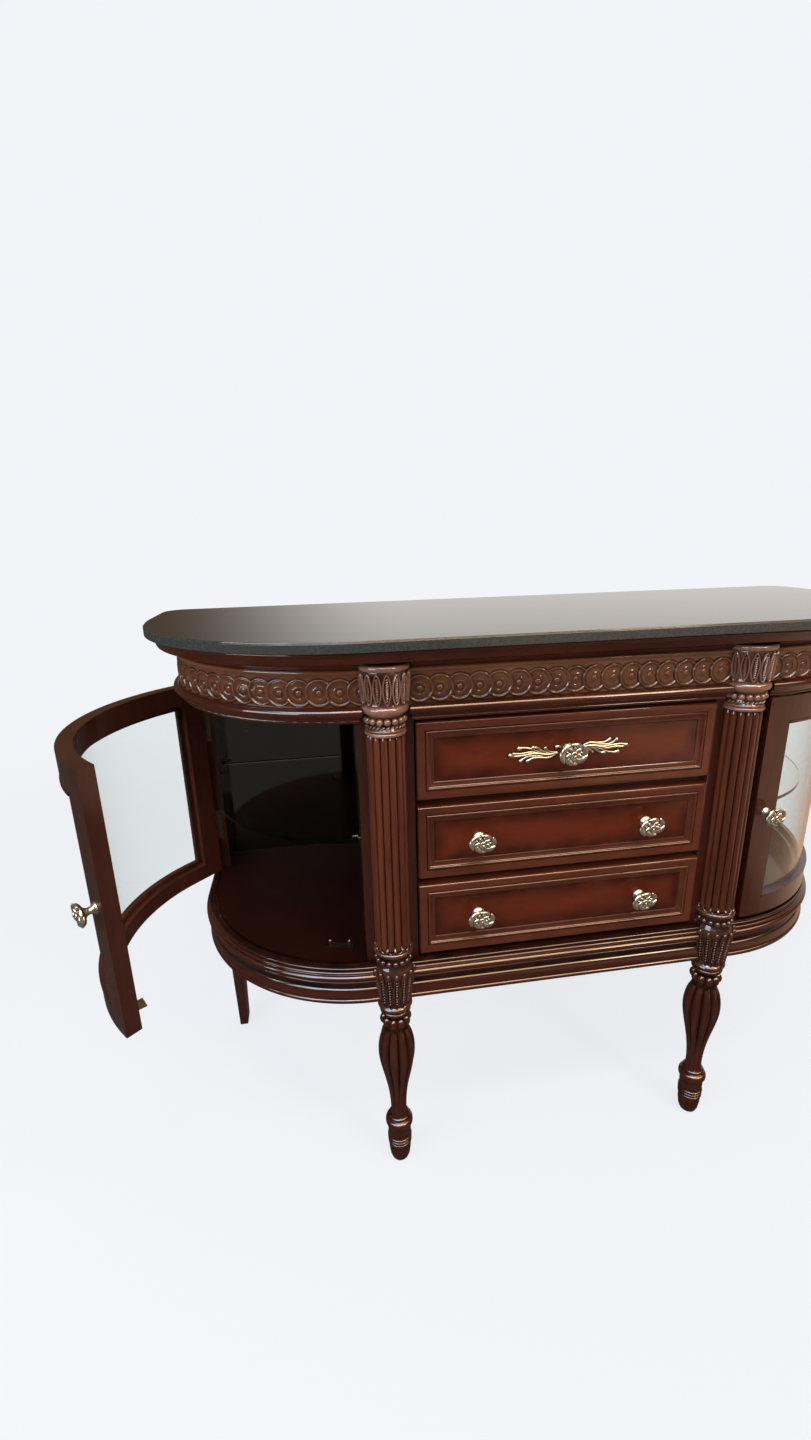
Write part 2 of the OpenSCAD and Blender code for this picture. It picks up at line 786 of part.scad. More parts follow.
module drawer_front(i) {
    w = 2 * front_half_w;
    h = front_high[i];
    color(wood) translate([-front_half_w, board_y, front_low[i]]) rotate([90, 0, 0]) {
        cube([w, h, board_t]);
        translate([0, 0, board_t]) {
            mitred_side(w);
            translate([w, h, 0]) rotate([0, 0, 180]) mitred_side(w);
            translate([w, 0, 0]) rotate([0, 0, 90]) mitred_side(h);
            translate([0, h, 0]) rotate([0, 0, -90]) mitred_side(h);
        }
    }
}

module drawer_box(i) {
    z0 = runner_top[i] + run_gap;
    z1 = next_low[i] - top_gap;
    color(inner_wood) {
        for (s = [-1, 1]) on_side(s) translate([box_half - side_t, board_y, z0])
            cube([side_t, box_depth, z1 - z0]);
        translate([side_t - box_half, box_end - side_t, z0])
            cube([2 * (box_half - side_t), side_t, z1 - z0]);
        translate([side_t - box_half, board_y, z0 + bottom_up])
            cube([2 * (box_half - side_t), box_depth - side_t, bottom_t]);
    }
}

// Oval knob with a round flower and side leaves, its base at the origin facing -Y
module knob() {
    r = knob_r;
    rotate([90, 0, 0]) {
        rotate_extrude($fn = 48) polygon([[0, 0], [8, 0], [8, 2], [5, 4], [4.5, 11],
            [7, 14], [r - 2, 16], [r, 19], [r - 2, 22], [r * 0.6, knob_out - 4],
            [0, knob_out - 3]]);
        for (i = [0 : 5]) rotate([0, 0, i * 60 + 30])
            translate([r * 0.55, 0, knob_out - 8]) sphere(r = r * 0.27, $fn = 24);
        translate([0, 0, knob_out - 5]) sphere(r = r * 0.25, $fn = 24);
        for (s = [-1, 1]) translate([s * (r - 1), 0, 18.5]) sphere(r = r * 0.3, $fn = 24);
    }
}

panel_y = board_y - board_t;
module drawer_knobs(i) {
    color(brass) for (s = [-1, 1])
        translate([s * knob_x, panel_y, front_low[i] + front_high[i] / 2]) knob();
}

// Outline of a bent leaf from its root to its tip
function leaf_mid(t, len, rise, lift) = [len * t, rise * sin(180 * t) + lift * t];
function leaf_wide(t, w) = w * (0.25 + sin(180 * pow(t, 0.8)) * 0.75) * (1 - 0.6 * t);
leaf_parts = 14;
module leaf(len, rise, lift, w) {
    up = [for (k = [0 : leaf_parts]) let (t = k / leaf_parts)
          leaf_mid(t, len, rise, lift) + [0, leaf_wide(t, w) / 2]];
    down = [for (k = [leaf_parts : -1 : 0]) let (t = k / leaf_parts)
            leaf_mid(t, len, rise, lift) - [0, leaf_wide(t, w) / 2]];
    polygon(concat(up, down));
}

// Leaf pull: a central flower knob between two spreading wings
module drawer_top_pull() {
    reach = pull_half - 12;
    color(brass) translate([0, panel_y, front_low[2] + front_high[2] / 2]) {
        knob();
        rotate([90, 0, 0]) for (s = [-1, 1]) on_side(s) translate([12, 0, 0]) {
            linear_extrude(height = 4) {
                leaf(reach, 7, 4, 9);
                leaf(reach * 0.75, -6, -3, 9);
                translate([reach * 0.3, 3]) leaf(reach * 0.5, 4, 9, 7);
                translate([reach * 0.25, -4]) leaf(reach * 0.4, -4, -6, 7);
                translate([-6, -5]) square([16, 10]);
            }
            linear_extrude(height = 6) {
                leaf(reach * 0.8, 6, 4, 4);
                leaf(reach * 0.55, -5, -3, 4);
            }
        }
    }
}

// Right door closed, or left door turned open about its hinge
module door_place(s) {
    if (s > 0) children();
    else mirror([1, 0, 0]) translate([hinge_x, hinge_y, 0]) rotate([0, 0, left_open])
        translate([-hinge_x, -hinge_y, 0]) children();
}

// Plan of the curved door between two radii, from an angle past its front to its end
module door_plan(r0, r1, a0) {
    translate([front_half, end_y]) difference() {
        union() {
            intersection() {
                circle(r = r1, $fn = 160);
                polygon([[0, 0], [big * sin(a0), -big * cos(a0)], [big, -big], [big, 0]]);
            }
            square([r1, door_end - end_y]);
        }
        circle(r = r0, $fn = 160);
        square([r0, big]);
    }
}

// What of the door lies between two radii, from y0 to y1 and from z0 to z1
module door_ring(r0, r1, a0, y0, y1, z0, z1) {
    translate([0, 0, z0]) linear_extrude(height = z1 - z0) intersection() {
        door_plan(r0, r1, a0);
        translate([0, y0]) square([big, y1 - y0]);
    }
}

glass_low = door_z + low_rail_h - rebate;
glass_high = door_top - top_rail_h + rebate;
rebate_a = asin((post_out + door_gap + stile_w - rebate - front_half) / face_r);

module glass_ring(r0) {
    door_ring(r0, glass_r, rebate_a, -big, hinge_stile_y + rebate, glass_low, glass_high);
}

// Curved rail with a raised edge towards the glass
module door_rail(z0, z1, edge_z) {
    difference() {
        door_ring(door_in_r, face_r, stile_b, -big, hinge_stile_y, z0, z1);
        glass_ring(door_in_r - 1);
    }
    door_ring(face_r - 1, face_r + 1, stile_b, -big, hinge_stile_y, edge_z, edge_z + rail_edge);
}

module door_rails(s) {
    color(wood) door_place(s) {
        door_rail(door_z, door_z + low_rail_h, door_z + low_rail_h - rail_edge);
        door_rail(door_top - top_rail_h, door_top, door_top - top_rail_h);
    }
}

module door_stile_hinge(s) {
    color(wood) door_place(s) difference() {
        door_ring(door_in_r, face_r, stile_b, hinge_stile_y, door_end, door_z, door_top);
        glass_ring(door_in_r - 1);
    }
}

module door_stile_free(s) {
    color(wood) door_place(s) difference() {
        translate([front_half, end_y, door_z]) rotate([0, 0, stile_a - 90])
            rotate_extrude(angle = stile_b - stile_a, $fn = 160)
                translate([door_in_r, 0]) square([door_t, door_top - door_z]);
        glass_ring(door_in_r - 1);
    }
}

module door_glass(s) {
    color(pane, 0.4) door_place(s) glass_ring(glass_r - glass_t);
}

knob_a = (stile_a + stile_b) / 2;
module door_knob(s) {
    color(brass) door_place(s) translate([front_half, end_y, (door_z + door_top) / 2])
        rotate([0, 0, knob_a]) translate([0, -face_r, 0]) knob();
}

module hinge_knuckles(part) {
    for (z = hinge_zs) for (k = [0 : 2]) if ((k == 1) == part)
        translate([hinge_x, hinge_y, z + k * knuckle_h + knuckle_gap / 2])
            cylinder(r = barrel_r, h = knuckle_h - knuckle_gap, $fn = 48);
}

module hinge_clear(part) {
    for (z = hinge_zs) for (k = [0 : 2]) if ((k == 1) == part)
        translate([hinge_x, hinge_y, z + k * knuckle_h - knuckle_gap])
            cylinder(r = barrel_r + knuckle_gap, h = knuckle_h + 2 * knuckle_gap, $fn = 48);
}

leaf_in = end_x - door_t + 2;
module hinge_leaf(y0) {
    for (z = hinge_zs) translate([leaf_in, y0, z])
        cube([hinge_x - leaf_in, leaf_t, barrel_h]);
}

// Hinge leaf and middle knuckle of each hinge, and the strike of the catch
module door_hardware(s) {
    color(brass) door_place(s) {
        difference() {
            union() {
                difference() {
                    hinge_leaf(door_end);
                    hinge_clear(false);
                }
                hinge_knuckles(true);
            }
            for (z = hinge_zs) translate([hinge_x, hinge_y, z - 1])
                cylinder(r = pin_r + pin_clear, h = barrel_h + 2, $fn = 48);
        }
        at_catch() translate([0, -strike_w / 2, door_z + 2]) {
            translate([catch_far + catch_ball + 1.5, 0, 0])
                cube([strike_far - catch_far - catch_ball - 1.5, strike_w, plate_t]);
            translate([strike_far - plate_t, 0, 0]) cube([plate_t, strike_w, strike_h]);
        }
    }
}

// Fixed leaves on the rear posts with the outer knuckles and the pin
module hinges_fixed() {
    color(brass) for (s = [-1, 1]) on_side(s) {
        difference() {
            hinge_leaf(rear_y - leaf_t);
            hinge_clear(true);
        }
        hinge_knuckles(false);
        for (z = hinge_zs) translate([hinge_x, hinge_y, z])
            cylinder(r = pin_r, h = barrel_h, $fn = 48);
    }
}

// Catch on the deck: a plate with two round-headed posts
catch_x = post_out + stile_w;
catch_far = norm([catch_x - front_half, catch_y - end_y]);
catch_a = atan2(catch_y - end_y, catch_x - front_half);
catch_ball = 3.2;
plate_t = 1.6;
strike_w = 20;
strike_h = 14;
strike_far = sqrt(pow(door_in_r, 2) - pow(strike_w / 2, 2));
module at_catch() {
    translate([front_half, end_y, 0]) rotate([0, 0, catch_a]) children();
}

module door_catches() {
    color(brass) for (s = [-1, 1]) on_side(s) at_catch() translate([catch_far, 0, deck_top]) {
        translate([-5, -catch_gap / 2 - 5, 0]) cube([10, catch_gap + 10, plate_t]);
        for (d = [-1, 1]) translate([0, d * catch_gap / 2, 0]) {
            cylinder(r = 2.4, h = 8, $fn = 32);
            translate([0, 0, 8]) sphere(r = catch_ball, $fn = 32);
        }
    }
}

// Glass shelf with a curved front, notched round the front post
module shelf_glass() {
    r = face_r - shelf_in;
    color(pane, 0.4) translate([0, 0, shelf_under]) linear_extrude(height = shelf_t)
        difference() {
            union() {
                intersection() {
                    translate([front_half, end_y]) circle(r = r, $fn = 120);
                    translate([part_out + shelf_gap, end_y - r]) square([2 * r, r]);
                }
                translate([part_out + shelf_gap, end_y])
                    square([front_half + r - part_out - shelf_gap,
                            back_y - shelf_gap - end_y]);
            }
            translate([post_in, post_rear_y + shelf_gap - big])
                square([post_w + shelf_gap, big]);
        }
}

module shelf_pins() {
    color(brass) for (s = [-1, 1]) on_side(s) for (p = pin_places)
        pin_rod(p, shelf_pin_out, shelf_pin_in, shelf_pin_r);
}

stone_top();
top_board();
cornice();
frieze_center();
on_side(-1) frieze_end();  // frieze_left
on_side(1) frieze_end();  // frieze_right
frieze_bead();
on_side(-1) capital();  // capital_left
on_side(1) capital();  // capital_right
on_side(-1) column();  // column_left
on_side(1) column();  // column_right
on_side(-1) block();  // block_left
on_side(1) block();  // block_right
on_side(-1) leg_front();  // leg_front_left
on_side(1) leg_front();  // leg_front_right
on_side(-1) post_front();  // post_front_left
on_side(1) post_front();  // post_front_right
on_side(-1) post_rear();  // post_rear_left
on_side(1) post_rear();  // post_rear_right
foot_glides();
deck_board();
upper_board();
base_moulding_center();
on_side(-1) base_moulding_end();  // base_moulding_left
on_side(1) base_moulding_end();  // base_moulding_right
on_side(-1) partition();  // partition_left
on_side(1) partition();  // partition_right
back_panel(-col_x, col_x);  // back_panel_center
back_panel(-end_x, -col_x);  // back_panel_left
back_panel(col_x, end_x);  // back_panel_right
face_rails();
drawer_runners();
on_side(-1) shelf_glass();  // shelf_glass_left
on_side(1) shelf_glass();  // shelf_glass_right
shelf_pins();
door_catches();
hinges_fixed();
drawer_front(2);  // drawer_top_front
drawer_box(2);  // drawer_top_box
drawer_top_pull();
drawer_front(1);  // drawer_middle_front
drawer_box(1);  // drawer_middle_box
drawer_knobs(1);  // drawer_middle_knobs
drawer_front(0);  // drawer_bottom_front
drawer_box(0);  // drawer_bottom_box
drawer_knobs(0);  // drawer_bottom_knobs
door_rails(-1);  // door_left_rails
door_stile_hinge(-1);  // door_left_stile_hinge
door_stile_free(-1);  // door_left_stile_free
door_glass(-1);  // door_left_glass
door_knob(-1);  // door_left_knob
door_hardware(-1);  // door_left_hardware
door_rails(1);  // door_right_rails
door_stile_hinge(1);  // door_right_stile_hinge
door_stile_free(1);  // door_right_stile_free
door_glass(1);  // door_right_glass
door_knob(1);  // door_right_knob
door_hardware(1);  // door_right_hardware
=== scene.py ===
# Buffet cabinet with rounded glazed ends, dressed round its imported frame.
from math import cos, hypot, pi, radians, sin, sqrt

import bpy
from mathutils import Matrix, Vector


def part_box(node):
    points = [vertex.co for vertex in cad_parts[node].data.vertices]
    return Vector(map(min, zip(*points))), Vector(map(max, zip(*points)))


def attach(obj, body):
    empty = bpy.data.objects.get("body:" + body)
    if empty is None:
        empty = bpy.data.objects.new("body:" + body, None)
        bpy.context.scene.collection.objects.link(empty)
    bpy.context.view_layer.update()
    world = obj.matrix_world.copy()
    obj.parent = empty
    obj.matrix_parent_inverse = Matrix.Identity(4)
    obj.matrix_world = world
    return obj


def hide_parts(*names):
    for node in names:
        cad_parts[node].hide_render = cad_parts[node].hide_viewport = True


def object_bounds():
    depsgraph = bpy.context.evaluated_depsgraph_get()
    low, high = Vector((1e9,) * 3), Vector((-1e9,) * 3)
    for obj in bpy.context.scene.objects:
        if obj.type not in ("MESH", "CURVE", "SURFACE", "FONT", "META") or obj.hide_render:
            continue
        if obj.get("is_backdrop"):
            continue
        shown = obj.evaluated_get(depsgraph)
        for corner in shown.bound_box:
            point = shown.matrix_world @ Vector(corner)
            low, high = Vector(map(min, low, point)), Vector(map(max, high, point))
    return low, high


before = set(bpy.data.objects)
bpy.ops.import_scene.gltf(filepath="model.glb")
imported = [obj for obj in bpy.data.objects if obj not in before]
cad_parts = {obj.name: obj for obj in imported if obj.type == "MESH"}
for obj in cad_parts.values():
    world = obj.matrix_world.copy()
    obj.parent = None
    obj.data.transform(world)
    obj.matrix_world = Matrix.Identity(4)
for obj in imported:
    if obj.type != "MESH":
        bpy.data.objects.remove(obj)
bpy.context.view_layer.update()
scene = bpy.context.scene

# The studio: a camera at the height and tilt of a standing person's eyes, close to
# the left front, over a plain pale floor that runs into a pale surround. Soft lamps
# stand for a cool window at the left, a warm lamp at the right and one overhead.
scene.view_settings.view_transform = "Standard"
eye = Vector((-0.36459, -0.81754, 1.05556))
turn, tilt, lean = 0.143691, 0.294125, 0.0255463
ahead = Vector((sin(turn) * cos(tilt), cos(turn) * cos(tilt), -sin(tilt)))
aside = Vector((cos(turn), -sin(turn), 0))
below = ahead.cross(aside)
level_right = aside * cos(lean) + below * sin(lean)
level_down = below * cos(lean) - aside * sin(lean)
camera_data = bpy.data.cameras.new("studio_camera")
camera_data.sensor_width = 36
camera_data.lens = 15.362
camera = bpy.data.objects.new("studio_camera", camera_data)
scene.collection.objects.link(camera)
axes = Matrix((level_right, -level_down, -ahead)).transposed()
camera.matrix_world = Matrix.Translation(eye) @ axes.to_4x4()
scene.camera = camera


def wired(tree, kind, **settings):
    """A new node with its properties and the values of its named inputs"""
    node = tree.nodes.new(kind)
    for name, value in settings.items():
        if name in node.inputs:
            node.inputs[name].default_value = value
        else:
            setattr(node, name, value)
    return node


def fed(tree, sockets, sources):
    """Gives each socket its plain value, or joins an output to it"""
    for socket, source in zip(sockets, sources):
        if isinstance(source, bpy.types.NodeSocket):
            tree.links.new(source, socket)
        else:
            socket.default_value = source


def reckoned(tree, operation, *terms, clamp=False):
    """The result of a sum whose terms are numbers or outputs"""
    node = wired(tree, "ShaderNodeMath", operation=operation, use_clamp=clamp)
    fed(tree, node.inputs, terms)
    return node.outputs[0]


def ranged(tree, source, low, high, to_low=0.0, to_high=1.0, kind="LINEAR"):
    """A value scaled from one range to another"""
    node = wired(tree, "ShaderNodeMapRange", interpolation_type=kind)
    fed(tree, node.inputs, (source, low, high, to_low, to_high))
    return node.outputs[0]


def between_limits(tree, source, *limits):
    """A soft step of a value from one limit to another"""
    return ranged(tree, source, *limits, kind="SMOOTHSTEP")


def blended(tree, amount, first, second):
    """A mix of two colours, each a tuple or an output"""
    mix = wired(tree, "ShaderNodeMix", data_type="RGBA")
    fed(tree, (mix.inputs[0], mix.inputs[6], mix.inputs[7]), (amount, first, second))
    return mix.outputs[2]


def overlaid(tree, amount, first, second):
    """A mix of two shaders by a mask"""
    mix = wired(tree, "ShaderNodeMixShader")
    fed(tree, mix.inputs, (amount, first.outputs[0], second.outputs[0]))
    return mix


def ray_kinds(tree):
    """Masks for rays from the eye or through a pane, and for rays from a reflection"""
    path = wired(tree, "ShaderNodeLightPath").outputs
    reflected = reckoned(tree, "SUBTRACT", path["Glossy Depth"], path["Is Diffuse Ray"], clamp=True)
    either = reckoned(tree, "MAXIMUM", path["Is Camera Ray"], path["Is Transmission Ray"])
    return reckoned(tree, "SUBTRACT", either, reflected, clamp=True), reflected


# The eye sees a pale surround. Reflections see a dim room with a light wall behind and
# a brown corner; only the first of them sees the bright ceiling high up in front.
pale = (0.888, 0.905, 0.94, 1)
dusk = (0.05, 0.044, 0.04, 1)
far_wall = (0.95, 0.9, 0.86, 1)
brown_corner = (0.09, 0.055, 0.03, 1)
cool_ceiling = (9.0, 10.3, 12.6, 1)
warm_ceiling = (10.5, 6.9, 4.2, 1)
tan_carpet = (0.6, 0.38, 0.26, 1)
world = bpy.data.worlds.new("pale_surround")
world.use_nodes = True
scene.world = world
sky = world.node_tree
sky.nodes.clear()
direct, reflected = ray_kinds(sky)
view_way = wired(sky, "ShaderNodeTexCoord")
split_way = wired(sky, "ShaderNodeSeparateXYZ")
sky.links.new(view_way.outputs["Generated"], split_way.inputs[0])
way_x, way_y, way_z = split_way.outputs
behind = blended(sky, between_limits(sky, way_x, -0.24, 0.16), brown_corner, far_wall)
walls = blended(sky, between_limits(sky, way_y, 0.1, 0.4), dusk, behind)
overhead = blended(sky, between_limits(sky, way_x, -0.2, 0.1), cool_ceiling, warm_ceiling)
overhead = blended(sky, between_limits(sky, way_x, -0.75, -0.45), dusk, overhead)
bounces = wired(sky, "ShaderNodeLightPath").outputs["Glossy Depth"]
once = between_limits(sky, bounces, 1.2, 1.8, 1.0, 0.0)
in_front = reckoned(sky, "MULTIPLY", once, between_limits(sky, way_y, -0.3, 0.0, 1.0, 0.0))
high_up = reckoned(sky, "MULTIPLY", between_limits(sky, way_z, 0.5, 0.62), in_front)
lit = wired(sky, "ShaderNodeBackground", Color=(0.95, 0.97, 1, 1), Strength=0.5)
room = wired(sky, "ShaderNodeBackground", Strength=1)
shown = wired(sky, "ShaderNodeBackground", Color=pale, Strength=1)
sky.links.new(blended(sky, high_up, walls, overhead), room.inputs["Color"])
surround = overlaid(sky, direct, overlaid(sky, reflected, lit, room), shown)
sky_out = wired(sky, "ShaderNodeOutputWorld")
sky.links.new(surround.outputs[0], sky_out.inputs[0])


def new_finish(name):
    """A material with its node tree and its shader"""
    finish = bpy.data.materials.new(name)
    finish.use_nodes = True
    return finish, finish.node_tree, finish.node_tree.nodes["Principled BSDF"]


def own_points(tree):
    """The places of a piece's own points, which its patterns follow"""
    return wired(tree, "ShaderNodeTexCoord").outputs["Object"]


floor_paint, tree, matt = new_finish("pale_floor")
matt.inputs["Base Color"].default_value = (0.82, 0.83, 0.85, 1)
matt.inputs["Roughness"].default_value = 0.9
matt.inputs["Specular IOR Level"].default_value = 0.1
direct, reflected = ray_kinds(tree)
on_floor = own_points(tree)
split_spot = wired(tree, "ShaderNodeSeparateXYZ")
far_off = wired(tree, "ShaderNodeVectorMath", operation="LENGTH")
tree.links.new(on_floor, split_spot.inputs[0])
tree.links.new(on_floor, far_off.inputs[0])
carpet = blended(tree, between_limits(tree, split_spot.outputs["X"], 0.85, 1.3), dusk, tan_carpet)
glow = wired(tree, "ShaderNodeEmission", Color=pale, Strength=1)
dim = wired(tree, "ShaderNodeEmission", Strength=1)
tree.links.new(carpet, dim.inputs["Color"])
paler = between_limits(tree, far_off.outputs["Value"], 1.2, 3.6, 0.84, 1.0)
share = reckoned(tree, "MULTIPLY", direct, paler)
plain = overlaid(tree, share, overlaid(tree, reflected, matt, dim), glow)
tree.links.new(plain.outputs[0], tree.nodes["Material Output"].inputs[0])
bpy.ops.object.select_all(action="DESELECT")
bpy.ops.mesh.primitive_plane_add(size=60, location=(0, 0, 0))
floor = bpy.context.object
floor.name = "studio_floor"
floor.data.materials.append(floor_paint)
floor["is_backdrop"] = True


def studio_lamp(name, place, aim, width, height, watts, tint):
    """A soft rectangular lamp that faces a point on the cabinet"""
    lamp = bpy.data.lights.new(name, "AREA")
    lamp.shape = "RECTANGLE"
    lamp.size, lamp.size_y = width, height
    lamp.energy, lamp.color = watts, tint
    holder = bpy.data.objects.new(name, lamp)
    scene.collection.objects.link(holder)
    way = Vector(aim) - Vector(place)
    facing = way.to_track_quat("-Z", "Y").to_matrix().to_4x4()
    holder.matrix_world = Matrix.Translation(place) @ facing


studio_lamp("window_left", (-2.1, -1.2, 1.5), (-0.4, 0, 0.65), 1.5, 0.9, 40, (0.86, 0.93, 1))
studio_lamp("lamp_right", (1.3, -1.8, 2.1), (0.2, 0, 0.6), 0.5, 0.5, 24, (1, 0.8, 0.6))
studio_lamp("ceiling", (0.1, -1.0, 3.0), (0, 0.1, 0.7), 1.8, 0.35, 34, (1, 0.9, 0.76))

# Timber: a dark red-brown hardwood, stained and wiped with glaze, under gloss lacquer; carvings also get painted
# shade in their hollows.
# The grain runs along each board: across on rails and mouldings, upright on posts,
# columns and stiles, so one shader group draws it and each finish stretches it.
grain = bpy.data.node_groups.new("stained_grain", "ShaderNodeTree")
for name, kind, value in (
    ("Vector", "NodeSocketVector", None),
    ("Ground", "NodeSocketColor", (0.1, 0.02, 0.01, 1)),
    ("Streak", "NodeSocketColor", (0.2, 0.06, 0.02, 1)),
    ("Figure", "NodeSocketFloat", 0.5),
    ("Polish", "NodeSocketFloat", 0.25),
):
    socket = grain.interface.new_socket(name, in_out="INPUT", socket_type=kind)
    if value is not None:
        socket.default_value = value
for name, kind in (("Color", "Color"), ("Roughness", "Float"), ("Height", "Float")):
    grain.interface.new_socket(name, in_out="OUTPUT", socket_type="NodeSocket" + kind)
given = wired(grain, "NodeGroupInput").outputs
made = wired(grain, "NodeGroupOutput").inputs


def noise(tree, source, **settings):
    """A noise that follows the given points"""
    texture = wired(tree, "ShaderNodeTexNoise", **settings)
    tree.links.new(source, texture.inputs["Vector"])
    return texture.outputs[0]


broad = noise(grain, given["Vector"], Scale=5, Detail=6, Roughness=0.62, Distortion=0.4)
fine = noise(grain, given["Vector"], Scale=42, Detail=3, Roughness=0.7)
cloud = noise(grain, given["Vector"], Scale=0.9, Detail=2)
amount = reckoned(grain, "MULTIPLY", ranged(grain, broad, 0.32, 0.7), given["Figure"])
streaked = blended(grain, amount, given["Ground"], given["Streak"])
pores = ranged(grain, fine, 0.3, 0.55, 0.86, 1.0)
patches = ranged(grain, cloud, 0.3, 0.7, 0.8, 1.15)
darkened = wired(grain, "ShaderNodeVectorMath", operation="SCALE")
grain.links.new(streaked, darkened.inputs[0])
grain.links.new(reckoned(grain, "MULTIPLY", pores, patches), darkened.inputs["Scale"])
grain.links.new(darkened.outputs[0], made["Color"])
grain.links.new(reckoned(grain, "MULTIPLY_ADD", fine, 0.06, given["Polish"]), made["Roughness"])
grain.links.new(fine, made["Height"])


def timber(name, ground, streak, run, figure=0.6, polish=0.3, coat=1.0, relief=0.008):
    """A lacquered timber finish; run is the stretch of its grain along X, Y and Z"""
    finish, tree, surface = new_finish(name)
    stretch = wired(tree, "ShaderNodeMapping", Scale=run)
    wood = wired(tree, "ShaderNodeGroup", node_tree=grain)
    bump = wired(tree, "ShaderNodeBump", Strength=relief, Distance=0.001)
    tree.links.new(own_points(tree), stretch.inputs["Vector"])
    fed(tree, wood.inputs, (stretch.outputs[0], (*ground, 1), (*streak, 1), figure, polish))
    tree.links.new(wood.outputs["Color"], surface.inputs["Base Color"])
    tree.links.new(wood.outputs["Roughness"], surface.inputs["Roughness"])
    tree.links.new(wood.outputs["Height"], bump.inputs["Height"])
    tree.links.new(bump.outputs[0], surface.inputs["Normal"])
    surface.inputs["Specular IOR Level"].default_value = 0.12
    surface.inputs["Coat Weight"].default_value = coat
    surface.inputs["Coat Roughness"].default_value = 0.055
    return finish


across = (2.5, 2.5, 16)
upright = (16, 16, 2.5)
rail_timber = timber("mahogany_rail", (0.036, 0.0075, 0.0035), (0.075, 0.0165, 0.0065), across)
post_timber = timber("mahogany_post", (0.036, 0.009, 0.005), (0.068, 0.0165, 0.0085), upright)
dark_board = timber("dark_board", (0.011, 0.0027, 0.0015), (0.02, 0.0045, 0.0025), across,
                    polish=0.26, coat=0.5, relief=0)
drawer_board = timber("drawer_lining", (0.16, 0.085, 0.04), (0.26, 0.15, 0.08), across, polish=0.5, coat=0.0)


def dress(finish, *nodes):
    """Gives a finish to solids of the frame whose own shape is right"""
    for name in nodes:
        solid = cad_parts[name]
        solid.data.materials.clear()
        solid.data.materials.append(finish)
        solid.data.polygons.foreach_set("material_index", [0] * len(solid.data.polygons))


dress(rail_timber, "cornice", "frieze_bead")
dress(post_timber, "post_front_left", "post_front_right", "post_rear_left", "post_rear_right", "face_rails")
dress(dark_board, "deck_board", "upper_board", "top_board", "partition_left", "partition_right")
dress(drawer_board, "drawer_runners", "drawer_top_box", "drawer_middle_box", "drawer_bottom_box")

# Stone top: one slab of dark grey-green stone, sawn to the curve, polished on the
# top and the edge, and eased along its arris. Fine grains and a few pale flecks.
stone, tree, surface = new_finish("polished_stone")
in_stone = own_points(tree)
fleck = wired(tree, "ShaderNodeTexVoronoi", Scale=260)
tree.links.new(in_stone, fleck.inputs["Vector"])
tones = wired(tree, "ShaderNodeValToRGB")
tones.color_ramp.elements[0].position = 0.36
tones.color_ramp.elements[0].color = (0.010, 0.011, 0.0105, 1)
tones.color_ramp.elements[1].position = 0.72
tones.color_ramp.elements[1].color = (0.075, 0.08, 0.074, 1)
tree.links.new(noise(tree, in_stone, Scale=420, Detail=4, Roughness=0.7), tones.inputs[0])
veil = noise(tree, in_stone, Scale=9, Detail=5, Roughness=0.6)
tree.links.new(blended(tree, veil, tones.outputs[0], (0.036, 0.038, 0.035, 1)), surface.inputs["Base Color"])
tree.links.new(ranged(tree, fleck.outputs[0], 0.0, 0.4, 0.16, 0.07), surface.inputs["Roughness"])
mm = 0.001


def alone(piece):
    """Makes a piece the only one that is picked up"""
    bpy.ops.object.select_all(action="DESELECT")
    piece.select_set(True)
    bpy.context.view_layer.objects.active = piece
    return piece


def outward(piece):
    """Turns every face of a closed piece to the outside"""
    alone(piece)
    bpy.ops.object.mode_set(mode="EDIT")
    bpy.ops.mesh.select_all(action="SELECT")
    bpy.ops.mesh.normals_make_consistent(inside=False)
    bpy.ops.object.mode_set(mode="OBJECT")
    return piece


def fitted(piece, body, finish, replaced=(), crease=35):
    """Shades, finishes and fixes a piece to the body that carries it"""
    alone(piece)
    bpy.ops.object.transform_apply(location=True, rotation=True, scale=True)
    bpy.ops.object.shade_smooth_by_angle(angle=radians(crease))
    piece.data.materials.clear()
    piece.data.materials.append(finish)
    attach(piece, body)
    if replaced:
        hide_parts(*replaced)
    return piece


slab = bpy.data.objects.new("polished_slab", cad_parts["stone_top"].data.copy())
scene.collection.objects.link(slab)
alone(slab)
bpy.ops.object.mode_set(mode="EDIT")
bpy.ops.mesh.select_all(action="SELECT")
bpy.ops.mesh.remove_doubles(threshold=0.00001)
bpy.ops.mesh.dissolve_limited(angle_limit=radians(0.5))
bpy.ops.mesh.select_all(action="DESELECT")
bpy.ops.mesh.select_mode(type="EDGE")
bpy.ops.mesh.edges_select_sharp(sharpness=radians(60))
bpy.ops.mesh.bevel(offset=0.9 * mm, segments=3, profile=0.5, clamp_overlap=True)
bpy.ops.object.mode_set(mode="OBJECT")
fitted(outward(slab), "carcase", stone, ["stone_top"], 50)
flat_faces = slab.modifiers.new("flat_faces", "WEIGHTED_NORMAL")
flat_faces.keep_sharp = True
bpy.ops.object.modifier_apply(modifier="flat_faces")

# Carved frieze boards: a coin moulding. Dished discs lie over each other like scales,
# each with a thin rim, a button and a curl round it, between two borders whose inner
# edges follow them. A round bead runs along the top. Glaze and painted shade darken the hollows.


def drawn(name, points, edges=(), faces=()):
    """A new piece from points in millimetres"""
    mesh = bpy.data.meshes.new(name)
    mesh.from_pydata([Vector(p) * mm for p in points], edges, faces)
    piece = bpy.data.objects.new(name, mesh)
    scene.collection.objects.link(piece)
    return alone(piece)


